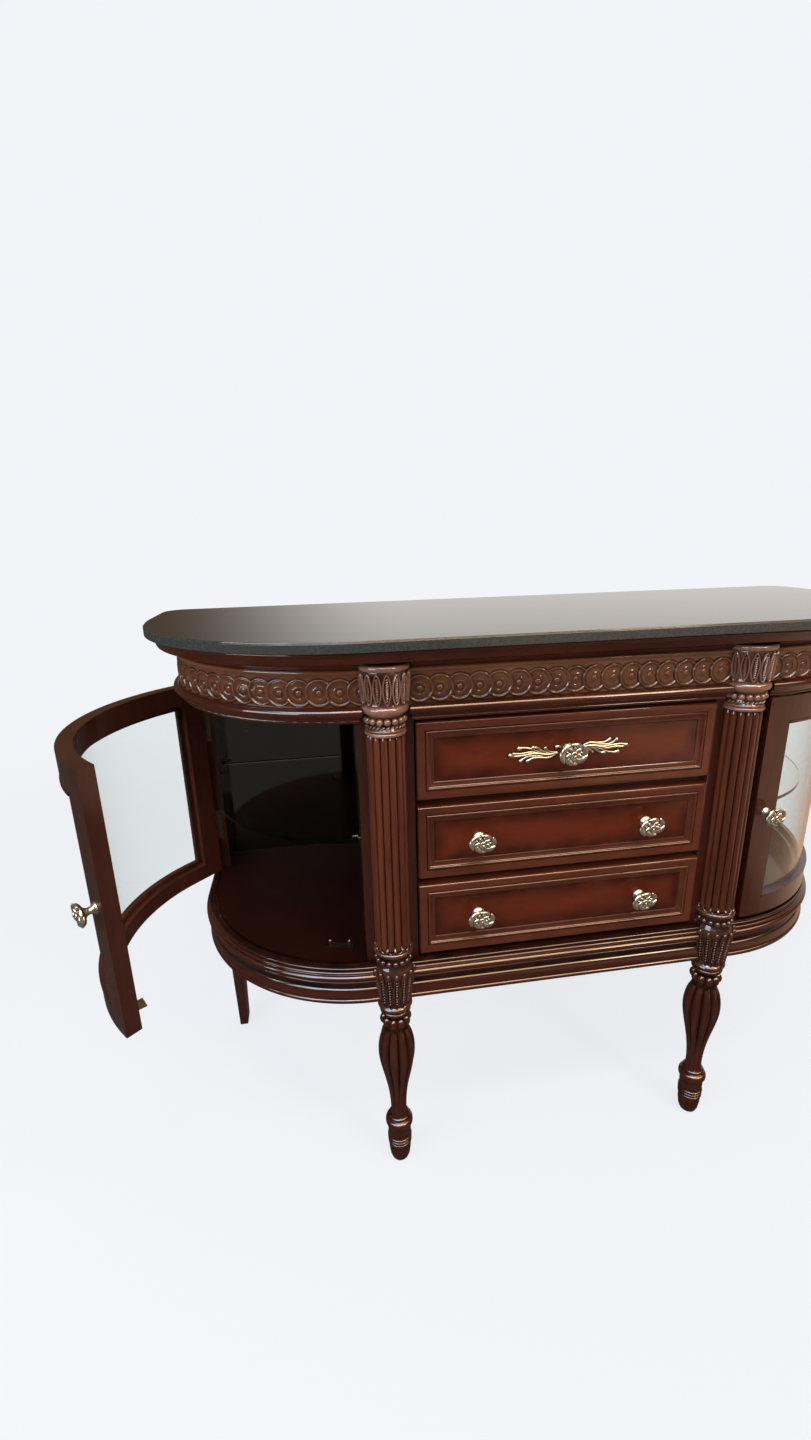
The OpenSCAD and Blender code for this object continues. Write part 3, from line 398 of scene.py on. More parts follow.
def turned(name, outline, steps):
    """Lathe work: an outline of radius and height in millimetres, spun about Z"""
    sides = [(k, k + 1) for k in range(len(outline) - 1)]
    piece = drawn(name, [(r, 0, h) for r, h in outline], sides)
    bpy.ops.object.mode_set(mode="EDIT")
    bpy.ops.mesh.select_all(action="SELECT")
    bpy.ops.mesh.spin(steps=steps, angle=2 * pi, center=(0, 0, 0), axis=(0, 0, 1))
    bpy.ops.mesh.select_all(action="SELECT")
    bpy.ops.mesh.remove_doubles(threshold=0.00001)
    bpy.ops.object.mode_set(mode="OBJECT")
    return outward(piece)


def copied(master, place):
    """A copy with its own mesh, put in its place"""
    piece = bpy.data.objects.new(master.name, master.data.copy())
    scene.collection.objects.link(piece)
    piece.data.transform(place)
    return piece


def scrapped(piece):
    """Takes a helper piece out of the scene"""
    bpy.data.objects.remove(piece)


def joined(name, pieces):
    """Several pieces made one"""
    bpy.ops.object.select_all(action="DESELECT")
    for piece in pieces:
        piece.select_set(True)
    bpy.context.view_layer.objects.active = pieces[0]
    if len(pieces) > 1:
        bpy.ops.object.join()
    piece = bpy.context.view_layer.objects.active
    piece.name = piece.data.name = name
    return piece


def hollowed(piece, depth_of):
    """Notes how deep each point lies in the carving, from 0 on top to 1 in the ground; timber finishes paint
    glaze and painted shade by it, brass its wax
    """
    attribute = piece.data.attributes.new("hollow", "FLOAT", "POINT")
    attribute.data.foreach_set("value", [depth_of(v.co) for v in piece.data.vertices])
    return piece


def shaped(piece, move):
    """Moves each point of a piece by a rule"""
    for v in piece.data.vertices:
        v.co = move(v.co)
    return piece


def from_axis(p):
    """The distance of a point from the upright axis it was turned on"""
    return hypot(p.x, p.y)


def eased(low, high, x):
    """A soft step from 0 to 1 between two values"""
    t = max(0.0, min(1.0, (x - low) / (high - low)))
    return t * t * (3 - 2 * t)


def carved(name, ground, raised, glaze_and_shade, run, polish):
    """Timber with glaze and painted shade in its hollows, read from the piece's own note of depth"""
    finish = timber(name, ground, raised, run, polish=polish)
    tree = finish.node_tree
    wood = next(n for n in tree.nodes if n.type == "GROUP")
    depth = wired(tree, "ShaderNodeAttribute", attribute_name="hollow")
    patchy = ranged(tree, noise(tree, own_points(tree), Scale=34, Detail=3), 0.3, 0.65, 0.45, 1.0)
    # The deeper a point lies, the more it takes the dark colour: wiped glaze and painted shade together.
    left = reckoned(tree, "MULTIPLY", depth.outputs["Fac"], patchy)
    mixed = blended(tree, left, wood.outputs["Color"], (*glaze_and_shade, 1))
    tree.links.new(mixed, tree.nodes["Principled BSDF"].inputs["Base Color"])
    return finish


frieze_finish = carved("carved_frieze", (0.11, 0.038, 0.017), (0.19, 0.072, 0.033), (0.016, 0.0055, 0.0028),
                       across, 0.3)

arc_x, arc_y, face_r, face_y = 306, 282, 288, -6
arc_run = face_r * pi / 2
low_edge, high_edge = 831, 882
coin_z, coin_r, coin_step, coin_gap = 851.4, 19.6, 28.3, 1.7
upper_edge, border_reach, border_t = 876.5, 15.5, 1.3
bead_z, bead_out, bead_r = 879.3, 1.2, 3.2
column_x, capital_r, tucked = 275, 38, 12
end_coins, center_coins, first_coin, flat_end = 18, 17, 1.7, 64


def round_end(side):
    """The bend of a flat piece round one end: x runs from the start of the curve"""
    def bend(p):
        u, out = p.x / mm, -p.y / mm
        if u <= 0:
            x, y = arc_x + u, face_y - out
        elif u < arc_run:
            a = u / face_r
            x, y = arc_x + (face_r + out) * sin(a), arc_y - (face_r + out) * cos(a)
        else:
            x, y = arc_x + face_r + out, arc_y + u - arc_run
        return Vector((side * x * mm, y * mm, p.z))
    return bend


coin_line = [(0, 1.9), (2, 1.8), (3.2, 1.4), (3.8, 0.8), (4.1, 0.3), (10, 0.3), (15.2, 0.4), (16, 0.2),
             (16.5, 0.5), (17, 1.3), (17.8, 1.7), (18.7, 1.6), (19.3, 1.1), (19.6, 0.2), (19.6, -3)]
coin = turned("coin", coin_line, 40)
# How dark each radius of a coin is painted: glaze and painted shade round the button, at the rim's foot and at
# the outer step over its neighbour.
coin_glaze_and_shade = ((4.1, 0.8), (5.2, 0.3), (10, 0.2), (14, 0.3), (15.8, 1.0), (16.6, 0.4), (17.3, 0.0), (19.1, 0.1),
        (19.6, 1.0))


def note_by_radius(steps, r):
    """A value read off a list of radius and value, straight between its points"""
    if r <= steps[0][0]:
        return 0.0 if r < steps[0][0] - 0.1 else steps[0][1]
    for (r0, v0), (r1, v1) in zip(steps, steps[1:]):
        if r <= r1:
            return v0 + (v1 - v0) * (r - r0) / (r1 - r0)
    return steps[-1][1]


def wire_ring(radius, wire_r, around, section):
    """A ring of round wire that lies flat, in millimetres"""
    bpy.ops.object.select_all(action="DESELECT")
    bpy.ops.mesh.primitive_torus_add(major_segments=around, minor_segments=section,
                                     major_radius=radius * mm, minor_radius=wire_r * mm)
    return bpy.context.object


def curled(p):
    """Sinks the curl on its open side, where its upper end runs out to the rim"""
    facing = p.x / max(1e-6, from_axis(p))
    lift = 0.45 - 4.0 * eased(0.1, 0.75, facing - 0.45 * max(0, p.y) / (9 * mm))
    return Vector((p.x + 2.5 * mm * eased(0, 0.6, facing) * (p.y > 0), p.y, p.z + lift * mm))


hollowed(coin, lambda p: note_by_radius(coin_glaze_and_shade, from_axis(p) / mm))
curl = hollowed(shaped(wire_ring(8.4, 1.15, 32, 8), curled), lambda p: 0.1)
coin = joined("coin", [coin, curl])


def coin_row(places):
    """Upright coins along a row; each is tipped to lie over its neighbour on one side"""
    row = []
    for u, over in places:
        tip = Matrix.Rotation(radians(-4.0 * over), 4, "Z")
        open_side = Matrix.Diagonal((-1 if over > 0 else 1, 1, 1, 1))
        stand = Matrix.Rotation(pi / 2, 4, "X")
        spot = Matrix.Translation((u * mm, -0.9 * mm if over else 0.0, coin_z * mm))
        row.append(copied(coin, spot @ tip @ open_side @ stand))
        if over > 0:
            row[-1].data.flip_normals()
    return row


def border(name, start, end, coins, straight, above):
    """A strip whose one edge is straight and whose other follows the coins"""
    count = max(8, int((end - start) / 1.9))
    rim = coin_r + coin_gap

    def edge(u):
        near = min(coins, key=lambda c: abs(c - u))
        rise = max(border_reach, sqrt(max(0, rim * rim - (u - near) ** 2)))
        return coin_z + rise if above else coin_z - rise

    points, faces = [], []
    for k in range(count + 1):
        u = start + (end - start) * k / count
        points += [(u, 0.5, edge(u)), (u, 0.5, straight)]
    for k in range(count):
        a = 2 * k
        faces.append((a, a + 2, a + 3, a + 1) if above else (a, a + 1, a + 3, a + 2))
    strip = drawn(name, points, (), faces)
    bpy.ops.object.mode_set(mode="EDIT")
    bpy.ops.mesh.select_all(action="SELECT")
    bpy.ops.mesh.extrude_region_move(TRANSFORM_OT_translate={"value": (0, -(border_t + 0.5) * mm, 0)})
    bpy.ops.object.mode_set(mode="OBJECT")
    # The border's face is painted a little dark and its back edge dark, as glaze and painted shade.
    return hollowed(outward(strip), lambda p: 0.35 if p.y < 0 else 0.9)


def tube_faces(around, along):
    """The faces between one ring of points and the next, along a run of rings"""
    corners = [(j, (j + 1) % around) for j in range(around)]
    return [(k * around + a, k * around + b, (k + 1) * around + b, (k + 1) * around + a)
            for k in range(along) for a, b in corners]


def rounded_bar(piece, r, sides=12):
    """Draws a line of points out into a round bar"""
    line = [v.co.copy() for v in piece.data.vertices]
    ring = [Vector((0, r * cos(2 * pi * k / sides), r * sin(2 * pi * k / sides))) for k in range(sides)]
    points = [p / mm + q for p in line for q in ring]
    faces = tube_faces(sides, len(line) - 1)
    scrapped(piece)
    return hollowed(drawn("bar", points, (), faces), lambda p: 0.0)


def backing(name, start, end, steps):
    """The sunk ground behind the coins, painted fully dark as glaze and painted shade"""
    places = [start + (end - start) * k / steps for k in range(steps + 1)]
    points = [(u, 0, z) for u in places for z in (low_edge, high_edge)]
    faces = [(2 * k, 2 * k + 2, 2 * k + 3, 2 * k + 1) for k in range(steps)]
    ground = drawn(name, points, (), faces)
    bpy.ops.object.mode_set(mode="EDIT")
    bpy.ops.mesh.select_all(action="SELECT")
    bpy.ops.mesh.extrude_region_move(TRANSFORM_OT_translate={"value": (0, 10 * mm, 0)})
    bpy.ops.object.mode_set(mode="OBJECT")
    return hollowed(outward(ground), lambda p: 1.0)


def frieze_run(name, start, end, places, steps):
    """Ground, borders and coins of one length of frieze, still flat"""
    coins = [u for u, _ in places]
    parts = [backing("ground", start, end, steps)]
    parts.append(border("upper_border", start, end, coins, upper_edge, True))
    parts.append(border("lower_border", start, end, coins, low_edge - 3, False))
    parts += coin_row(places)
    line = [(start + (end - start) * k / steps, -bead_out, bead_z) for k in range(steps + 1)]
    bead = drawn("top_bead", line, [(k, k + 1) for k in range(steps)])
    parts.append(rounded_bar(bead, bead_r))
    return joined(name, parts)


for side, sign in (("left", -1), ("right", 1)):
    first, last = capital_r + column_x - arc_x - tucked, arc_run + flat_end
    places = [(first_coin + k * coin_step, 1) for k in range(end_coins)]
    run = frieze_run("frieze_carving_" + side, first, last, places, 96)
    outward(shaped(run, round_end(sign)))
    fitted(run, "carcase", frieze_finish, ["frieze_" + side])
half_row = center_coins // 2
places = [(k * coin_step, (k < 0) - (k > 0)) for k in range(-half_row, half_row + 1)]
inner = column_x - capital_r + tucked
run = frieze_run("frieze_carving_center", -inner, inner, places, 2)
run.data.transform(Matrix.Translation((0, face_y * mm, 0)))
fitted(run, "carcase", frieze_finish, ["frieze_center"])
scrapped(coin)

# Base mouldings: solid timber, run with a moulding plane and bent round the ends. From
# the top fine beads round a thick torus, a sunk face with a sharp edge, a quarter
# round and a bead along the bottom; glued to the deck board.
base_finish = carved("base_moulding", (0.036, 0.008, 0.0038), (0.06, 0.014, 0.0062), (0.009, 0.0025, 0.0015),
                     across, 0.28)
let_in = 20


def run_bead(middle, base, r, points=8):
    """Points down the face of a bead, as reach from the face and height"""
    return [(base + r * sin(pi * k / points), middle + r * cos(pi * k / points)) for k in range(points + 1)]


base_line = ([(-8, 410), (0.6, 410), (1, 408)] + run_bead(405.6, 1.0, 1.7) + [(1.0, 402.4)]
             + run_bead(399.4, 3.0, 2.5) + [(2.6, 396.4)] + run_bead(390, 3.2, 5.6, 14) + [(2.6, 384)]
             + run_bead(381.6, 2.6, 1.9) + [(1.4, 379), (0.8, 376), (0.8, 368.4), (2.0, 367.4), (3.0, 366)]
             + [(3.0, 365.2), (2.4, 364.4), (3.6, 361), (4.7, 357), (5.2, 353.4), (5.0, 352), (3.4, 351.4)]
             + run_bead(346.7, 2.2, 4.1, 12) + [(1.6, 342), (-8, 342)])


def run_out(name, outline, start, end, steps):
    """A moulding of a closed outline, planed along a run that is still flat"""
    count = len(outline)
    points = [(start + (end - start) * k / steps, -out, z) for k in range(steps + 1) for out, z in outline]
    ends = [tuple(range(count)), tuple(steps * count + j for j in range(count))]
    piece = drawn(name, points, (), tube_faces(count, steps) + ends)
    # The parts of the profile set back from the face are painted darker, as glaze and painted shade.
    return hollowed(piece, lambda p: 1 - eased(0.9 * mm, 3.2 * mm, -p.y))


for side, sign in (("left", -1), ("right", 1)):
    last = arc_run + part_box("base_moulding_" + side)[1].y / mm - arc_y
    run = run_out("base_run_" + side, base_line, column_x + let_in - arc_x, last, 96)
    shaped(run, round_end(sign))
    fitted(outward(run), "carcase", base_finish, ["base_moulding_" + side], 40)
inner = column_x - let_in
run = run_out("base_run_center", base_line, -inner, inner, 8)
run.data.transform(Matrix.Translation((0, face_y * mm, 0)))
fitted(outward(run), "carcase", base_finish, ["base_moulding_center"], 40)

# Capitals, carved blocks and reeded shafts of the two columns: turned on the lathe,
# reeded and carved, then sawn flat at the back and glued to the plain posts.
# The capitals are painted much lighter than the other mahogany, partly their own tone and partly painted
# highlight for the light that falls on them.
capital_lit_finish = carved("carved_capital", (0.15, 0.068, 0.047), (0.28, 0.14, 0.095), (0.012, 0.0042, 0.003),
                        upright, 0.26)
block_finish = carved("carved_block", (0.06, 0.022, 0.0135), (0.12, 0.046, 0.028), (0.01, 0.0035, 0.0022),
                      upright, 0.26)
reed_finish = carved("reeded_shaft", (0.06, 0.0135, 0.006), (0.125, 0.032, 0.012), (0.014, 0.0035, 0.002),
                     (22, 22, 1.6), 0.28)
flat_y = 6


def half_round(r, low, high, bulge, points=6):
    """The outline of a rounded ring between two heights"""
    turns = [pi * k / points for k in range(points + 1)]
    return [(r - bulge * (1 - sin(a)), low + (high - low) * (1 - cos(a)) / 2) for a in turns]


def sawn(piece, y):
    """Cuts away what lies behind a plane and closes the cut"""
    alone(piece)
    bpy.ops.object.mode_set(mode="EDIT")
    bpy.ops.mesh.select_all(action="SELECT")
    bpy.ops.mesh.bisect(plane_co=(0, y * mm, 0), plane_no=(0, 1, 0), use_fill=True, clear_outer=True)
    bpy.ops.object.mode_set(mode="OBJECT")
    return piece


def ring_of(master, count, keep=92, start=0.0):
    """Copies of a piece that stands at the front, turned round the column's axis"""
    places = [360 * (k + start) / count for k in range(count)]
    turns = [a - 360 if a > 180 else a for a in places]
    return [copied(master, Matrix.Rotation(radians(a), 4, "Z")) for a in turns if abs(a) <= keep]


def ball(name, across_r, out_r, up_r, place, lean, fine):
    """A rounded bead, button or leaf tip"""
    bpy.ops.object.select_all(action="DESELECT")
    bpy.ops.mesh.primitive_uv_sphere_add(segments=fine, ring_count=max(6, fine // 2 + 1), radius=1)
    piece = bpy.context.object
    piece.name = name
    size = Matrix.Diagonal((across_r * mm, out_r * mm, up_r * mm, 1))
    leant = Matrix.Rotation(radians(lean), 4, "Y")
    piece.data.transform(Matrix.Translation(Vector(place) * mm) @ leant @ size)
    return piece


def lancet(name, r, middle, tall, wide, strand, lean):
    """A tall pointed oval with a rounded rim and a twisted cord inside"""
    bpy.ops.object.select_all(action="DESELECT")
    bpy.ops.mesh.primitive_torus_add(major_segments=32, minor_segments=8, major_radius=1, minor_radius=0.2)
    rim = bpy.context.object

    def stretched(p):
        r = from_axis(p)
        round_x, round_z, out = p.x / r, p.y / r, 1.2 * (r - 1) / 0.2
        narrow = 1 - 0.3 * round_z * round_z
        return Vector(((wide * narrow + out) * round_x, -2.6 * p.z / 0.2, (tall + out) * round_z)) * mm

    # The rim is painted darker toward the back, and the cord too, as glaze and painted shade.
    hollowed(shaped(rim, stretched), lambda p: eased(0.2 * mm, 1.8 * mm, p.y))
    parts = [rim]
    strands = int(1.7 * tall / strand)
    for k in range(strands):
        z = (k - (strands - 1) / 2) * strand
        room = wide * (0.98 - 0.55 * (z / tall) ** 2)
        turn = ball("strand", 0.66 * room, 2.0, strand * 0.36, (0, -0.6, z), -44, 8)
        parts.append(hollowed(turn, lambda p: eased(-2.2 * mm, -0.6 * mm, p.y)))
    piece = joined(name, parts)
    leant = Matrix.Rotation(radians(lean), 4, "X")
    piece.data.transform(Matrix.Translation((0, -r * mm, middle * mm)) @ leant)
    return piece


def capital_parts():
    body = turned("drum", [(0, 789)] + half_round(29.7, 789, 795, 2.6) + half_round(28.4, 795.4, 799, 1.6)
                  + [(26, 800.5), (24.8, 803), (24.8, 816), (28, 819.5)] + half_round(34.5, 821.5, 833, 5, 8)
                  + [(30.5, 834.5), (29.6, 836.5), (31.5, 862), (33, 878), (33.4, 880.5)]
                  + half_round(36.3, 881.4, 890, 3.4, 8) + [(0, 890)], 72)
    # The recessed neck and the ground behind the ovals are painted dark, as glaze and painted shade.
    hollowed(sawn(body, flat_y), lambda p: 1 - eased(26 * mm, 29.4 * mm, from_axis(p)) if p.z < 0.82
             else 1 - eased(33.2 * mm, 34.4 * mm, from_axis(p)) if p.z > 0.834 else 0)
    parts = [body]
    oval = lancet("lancet", 33.2, 857.6, 21, 5.4, 3.3, 4.5)
    pearl = hollowed(ball("pearl", 4.9, 4.6, 4.8, (0, -27.2, 811.5), 0, 16), lambda p: 0.0)
    twist = hollowed(ball("twist", 3.6, 1.8, 1.4, (0, -27, 802.6), -35, 8), lambda p: 0.1)
    for master, count in ((oval, 16), (pearl, 16), (twist, 26)):
        parts += ring_of(master, count)
        scrapped(master)
    return parts


def shaft_parts():
    core = turned("core", [(0, 441), (22.4, 441), (22.4, 789), (0, 789)], 56)
    # The core between the reeds is painted dark, and each reed darker where it meets the core, as glaze and
    # painted shade.
    hollowed(sawn(core, flat_y), lambda p: 1.0)
    reed = turned("reed", [(0, 441.6), (2, 442), (3.7, 443.6), (4.6, 446), (5, 449), (5, 781), (4.6, 785),
                           (3.4, 788), (0, 789.2)], 18)
    reed.data.transform(Matrix.Translation((0, -23 * mm, 0)))
    hollowed(reed, lambda p: 1 - eased(22 * mm, 26 * mm, from_axis(p)))
    parts = [core] + ring_of(reed, 14, 95, 0.5)
    scrapped(reed)
    return parts


def block_parts():
    body = turned("block", [(0, 327), (24, 327), (26.6, 328.5), (28, 331.5), (26.6, 334.5), (24, 336.5),
                            (24.2, 345), (26.5, 372), (29.6, 398), (30.4, 405), (28, 410), (25, 413.5),
                            (24.4, 416), (24.4, 428), (26, 431)]
                  + half_round(31, 432.5, 440, 3) + [(27.5, 441.5), (0, 441.5)], 72)
    # The block's ground behind the leaves is painted dark and its foot a little dark, as glaze and painted
    # shade.
    hollowed(body, lambda p: 1 - eased(27 * mm, 30.4 * mm, from_axis(p)) if p.z > 0.337 else 0.2)
    parts = [body]
    leaf = lancet("upright_leaf", 28.4, 371, 34, 4.6, 5.4, 6.6)
    tip = hollowed(ball("leaf_tip", 3.3, 3.4, 5.2, (0, -33.4, 402), 0, 12), lambda p: 0.0)
    pearl = hollowed(ball("pearl", 4.3, 4, 4.3, (0, -26.6, 421.5), 0, 16), lambda p: 0.0)
    cup = wire_ring(5.4, 1.1, 20, 6)
    cup.data.transform(Matrix.Translation((0, -27.4 * mm, 446 * mm)) @ Matrix.Rotation(pi / 2, 4, "X"))
    shaped(cup, lambda p: Vector((p.x, p.y + 7 * mm * eased(445 * mm, 450 * mm, p.z), p.z)))
    hollowed(cup, lambda p: 0.0)
    for master, count, start in ((leaf, 16, 0), (tip, 16, 0), (pearl, 16, 0), (cup, 14, 0.5)):
        parts += ring_of(master, count, 100, start)
        scrapped(master)
    return parts


for side, sign in (("left", -1), ("right", 1)):
    for kind, parts, finish, slot in (
        ("capital", capital_parts(), capital_lit_finish, "carved_wood"),
        ("shaft", shaft_parts(), reed_finish, "polished_wood"),
        ("block", block_parts(), block_finish, "carved_wood"),
    ):
        piece = joined(kind + "_carving_" + side, parts)
        piece.data.transform(Matrix.Translation((sign * column_x * mm, 0, 0)))
        fitted(piece, "carcase", finish, [("column" if kind == "shaft" else kind) + "_" + side], 40)

# Front legs: turned from one billet under a ring of round gadroons, with a long lobed
# bulb carved down to a slim ankle, and a ringed foot that stands on a small glide.
leg_finish = carved("lobed_leg", (0.036, 0.008, 0.004), (0.08, 0.02, 0.009), (0.01, 0.003, 0.0018),
                    upright, 0.28)
lobes = 10
bulb_line = [(0, 14.6), (0.07, 13.4), (0.18, 14), (0.3, 16.4), (0.42, 20.4), (0.54, 25.2), (0.65, 29),
             (0.73, 30.4), (0.8, 30.2), (0.87, 28.6), (0.94, 25.4), (1, 20.5)]
bulb_low, bulb_high = 98, 283


def smooth_line(line, t):
    """A rounded curve through the points of a line"""
    k = max(j for j in range(len(line) - 1) if line[j][0] <= t)
    (x1, y1), (x2, y2) = line[k], line[k + 1]
    x0, y0 = line[k - 1] if k else (x1 - (x2 - x1), y1)
    x3, y3 = line[k + 2] if k + 2 < len(line) else (x2 + (x2 - x1), y2 - (y1 - y2))
    m1, m2 = (y2 - y0) / (x2 - x0), (y3 - y1) / (x3 - x1)
    w, s = x2 - x1, (t - x1) / (x2 - x1)
    return ((2 * s**3 - 3 * s**2 + 1) * y1 + (s**3 - 2 * s**2 + s) * w * m1
            + (3 * s**2 - 2 * s**3) * y2 + (s**3 - s**2) * w * m2)


def leg_parts():
    levels = [k / 56 for k in range(57)]
    outline = [(smooth_line(bulb_line, t), bulb_low + (bulb_high - bulb_low) * t) for t in levels]
    bulb = turned("bulb", [(0, bulb_low)] + outline + [(0, bulb_high)], 12 * lobes)

    def groove(p):
        t = (p.z / mm - bulb_low) / (bulb_high - bulb_low)
        r = from_axis(p)
        a = Vector((p.x, p.y)).angle_signed(Vector((0, -1))) if r > 0 else 0
        deep = (1.2 + 4.2 * eased(0.12, 0.55, t)) * (1 - 0.2 * eased(0.9, 1, t)) * mm
        cut = deep * (1 - abs(sin(a * lobes / 2)) ** 0.75)
        keep = (r - min(cut, 0.6 * r)) / r if r > 1e-6 else 1
        return Vector((p.x * keep, p.y * keep, p.z))

    full = {round(v.co.z / mm, 3): from_axis(v.co) for v in bulb.data.vertices if from_axis(v.co) > 1e-6}
    shaped(bulb, groove)
    # The grooves between the lobes, and the sunk parts of collar and foot, are painted darker as glaze and
    # painted shade.
    hollowed(bulb, lambda p: eased(0.5 * mm, 4 * mm, full.get(round(p.z / mm, 3), 0) - from_axis(p)))
    collar = turned("collar", [(0, 279), (16, 279), (18, 283), (16.5, 288), (16.5, 312), (20, 315)]
                    + half_round(25, 317, 324, 3) + [(22, 326), (22, 327.5), (0, 327.5)], 60)
    hollowed(collar, lambda p: 1 - eased(17 * mm, 22 * mm, from_axis(p)))
    gadroon = ball("gadroon", 6.6, 7.4, 9.5, (0, -18.6, 301.5), 0, 18)
    hollowed(gadroon, lambda p: 1 - eased(17 * mm, 21 * mm, from_axis(p)))
    foot = turned("foot", [(0, 3), (11, 3), (14.5, 5), (17, 12), (18.6, 24), (19.3, 36)]
                  + half_round(20.4, 38, 43, 1.4) + half_round(20.6, 44, 49, 1.4) + half_round(20.8, 50, 55, 1.4)
                  + [(19.2, 57), (19.8, 68), (19.2, 75)] + half_round(23.4, 77.5, 92.5, 4.2, 8)
                  + half_round(18.4, 94, 99.5, 2) + [(13, 101), (0, 101)], 60)
    hollowed(foot, lambda p: 0.4 - 0.4 * eased(18.5 * mm, 21 * mm, from_axis(p)))
    parts = [bulb, collar, foot] + ring_of(gadroon, lobes, 181, 0.5)
    scrapped(gadroon)
    return parts


for side, sign in (("left", -1), ("right", 1)):
    piece = joined("lobed_leg_" + side, leg_parts())
    piece.data.transform(Matrix.Translation((sign * column_x * mm, 0, 0)))
    fitted(piece, "carcase", leg_finish, ["leg_front_" + side], 50)

# Drawer fronts: a board with a mitred frame planted on it, a thick round bead at the
# outer edge, a thin one beside it, then a hollow that runs down to two small beads
# round a flat red-brown panel of thin veneer.
front_finish = carved("drawer_moulding", (0.066, 0.016, 0.007), (0.12, 0.03, 0.013), (0.009, 0.0022, 0.0013),
                      (2.5, 2.5, 5), 0.28)
panel_finish = carved("drawer_panel", (0.082, 0.0125, 0.0036), (0.12, 0.021, 0.006), (0.026, 0.004, 0.0018),
                      (1.6, 1.6, 7), 0.3)
panel_y, board_y = 6, 18
mould_w = 27
thin_in, thin_base, thin_r = 16.1, 4.2, 1.8
thin_turns = [pi * k / 8 for k in range(9)]
thin_bead = [(thin_in - thin_r * cos(a), thin_base + thin_r * sin(a)) for a in thin_turns]
edge_line = ([(0, 3.2), (0.3, 4.6), (1, 5.7), (2, 6.3), (3.2, 6.5), (5.5, 6.2), (9, 5.5), (13, 4.9),
              (13.3, 3.6), (14.3, 3.6)] + thin_bead
             + [(18.2, 3.6), (19, 2.9), (20.5, 2.2), (22.5, 1.7), (24.3, 1.5), (24.6, 1.5),
                (24.9, 1.9), (25.5, 2.0), (26, 1.7), (26.3, 0.7), (mould_w, 0)])
quirks = (13.3, 14.3, 18.2, 26.3)


def blank(name, half_x, half_z, y, middle_z):
    """A flat upright oblong in millimetres"""
    corners = ((-half_x, -half_z), (half_x, -half_z), (half_x, half_z), (-half_x, half_z))
    return drawn(name, [(x, y, middle_z + z) for x, z in corners], (), [(0, 1, 2, 3)])


for level in ("top", "middle", "bottom"):
    node = "drawer_" + level + "_front"
    low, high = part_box(node)
    size_x, size_z = (high.x - low.x) / mm, (high.z - low.z) / mm
    middle_z = (high.z + low.z) / 2 / mm
    x1, z1 = size_x / 2, size_z / 2
    front = blank("moulded_front_" + level, x1, z1, board_y, middle_z)
    bpy.ops.object.mode_set(mode="EDIT")
    bpy.ops.mesh.select_all(action="SELECT")
    rise = board_y - panel_y + edge_line[0][1]
    bpy.ops.mesh.extrude_region_move(TRANSFORM_OT_translate={"value": (0, -rise * mm, 0)})
    for (d0, h0), (d1, h1) in zip(edge_line, edge_line[1:]):
        bpy.ops.mesh.inset(thickness=(d1 - d0) * mm, depth=(h1 - h0) * mm)
    bpy.ops.object.mode_set(mode="OBJECT")
    outward(front)

    # The quirks are painted dark and the hollow inside the thin bead a little dark, as glaze and painted shade.
    def groove_of(p):
        depth = min(x1 - abs(p.x / mm), z1 - abs(p.z / mm - middle_z))
        return 0.9 if any(abs(depth - q) < 0.2 for q in quirks) else 0.25 if depth > 18.4 else 0.0

    fitted(hollowed(front, groove_of), "drawer_" + level, front_finish, [node], 40)
    x1, z1 = x1 - mould_w, z1 - mould_w
    leaf = blank("drawer_panel_" + level, x1, z1, panel_y, middle_z)
    bpy.ops.object.mode_set(mode="EDIT")
    bpy.ops.mesh.select_all(action="SELECT")
    bpy.ops.mesh.extrude_region_move(TRANSFORM_OT_translate={"value": (0, -0.5 * mm, 0)})
    for inward in (4, 6, 8, 8):
        bpy.ops.mesh.inset(thickness=inward * mm, depth=0)
    bpy.ops.object.mode_set(mode="OBJECT")

    # The panel is painted darker toward its edges, next to the frame.
    def dark_rim(p):
        return 1 - eased(-2, 26, min(x1 - abs(p.x / mm), z1 - abs(p.z / mm - middle_z)))

    fitted(hollowed(outward(leaf), dark_rim), "drawer_" + level, panel_finish)

# Handles: cast and plated in pale antique brass, with dark wax left in the hollows.
# Oval knobs carry a star flower among curling leaves; the top drawer has the same
# knob between two sprays of leaves.
brass, tree, surface = new_finish("antique_brass")
depth = wired(tree, "ShaderNodeAttribute", attribute_name="hollow")
worn = noise(tree, own_points(tree), Scale=320, Detail=3)
smudged = reckoned(tree, "MULTIPLY_ADD", worn, 0.35, -0.12)
waxed = reckoned(tree, "ADD", smudged, depth.outputs["Fac"], clamp=True)
tones = blended(tree, waxed, (0.5, 0.43, 0.33, 1), (0.06, 0.036, 0.02, 1))
tree.links.new(tones, surface.inputs["Base Color"])
tree.links.new(ranged(tree, waxed, 0.0, 1.0, 0.28, 0.5), surface.inputs["Roughness"])
surface.inputs["Metallic"].default_value = 0.85

plain_brass, tree, surface = new_finish("plain_brass")
marks = noise(tree, own_points(tree), Scale=180, Detail=4)
tree.links.new(ranged(tree, marks, 0.0, 1.0, 0.2, 0.5), surface.inputs["Roughness"])
surface.inputs["Base Color"].default_value = (0.5, 0.38, 0.2, 1)
surface.inputs["Metallic"].default_value = 1.0


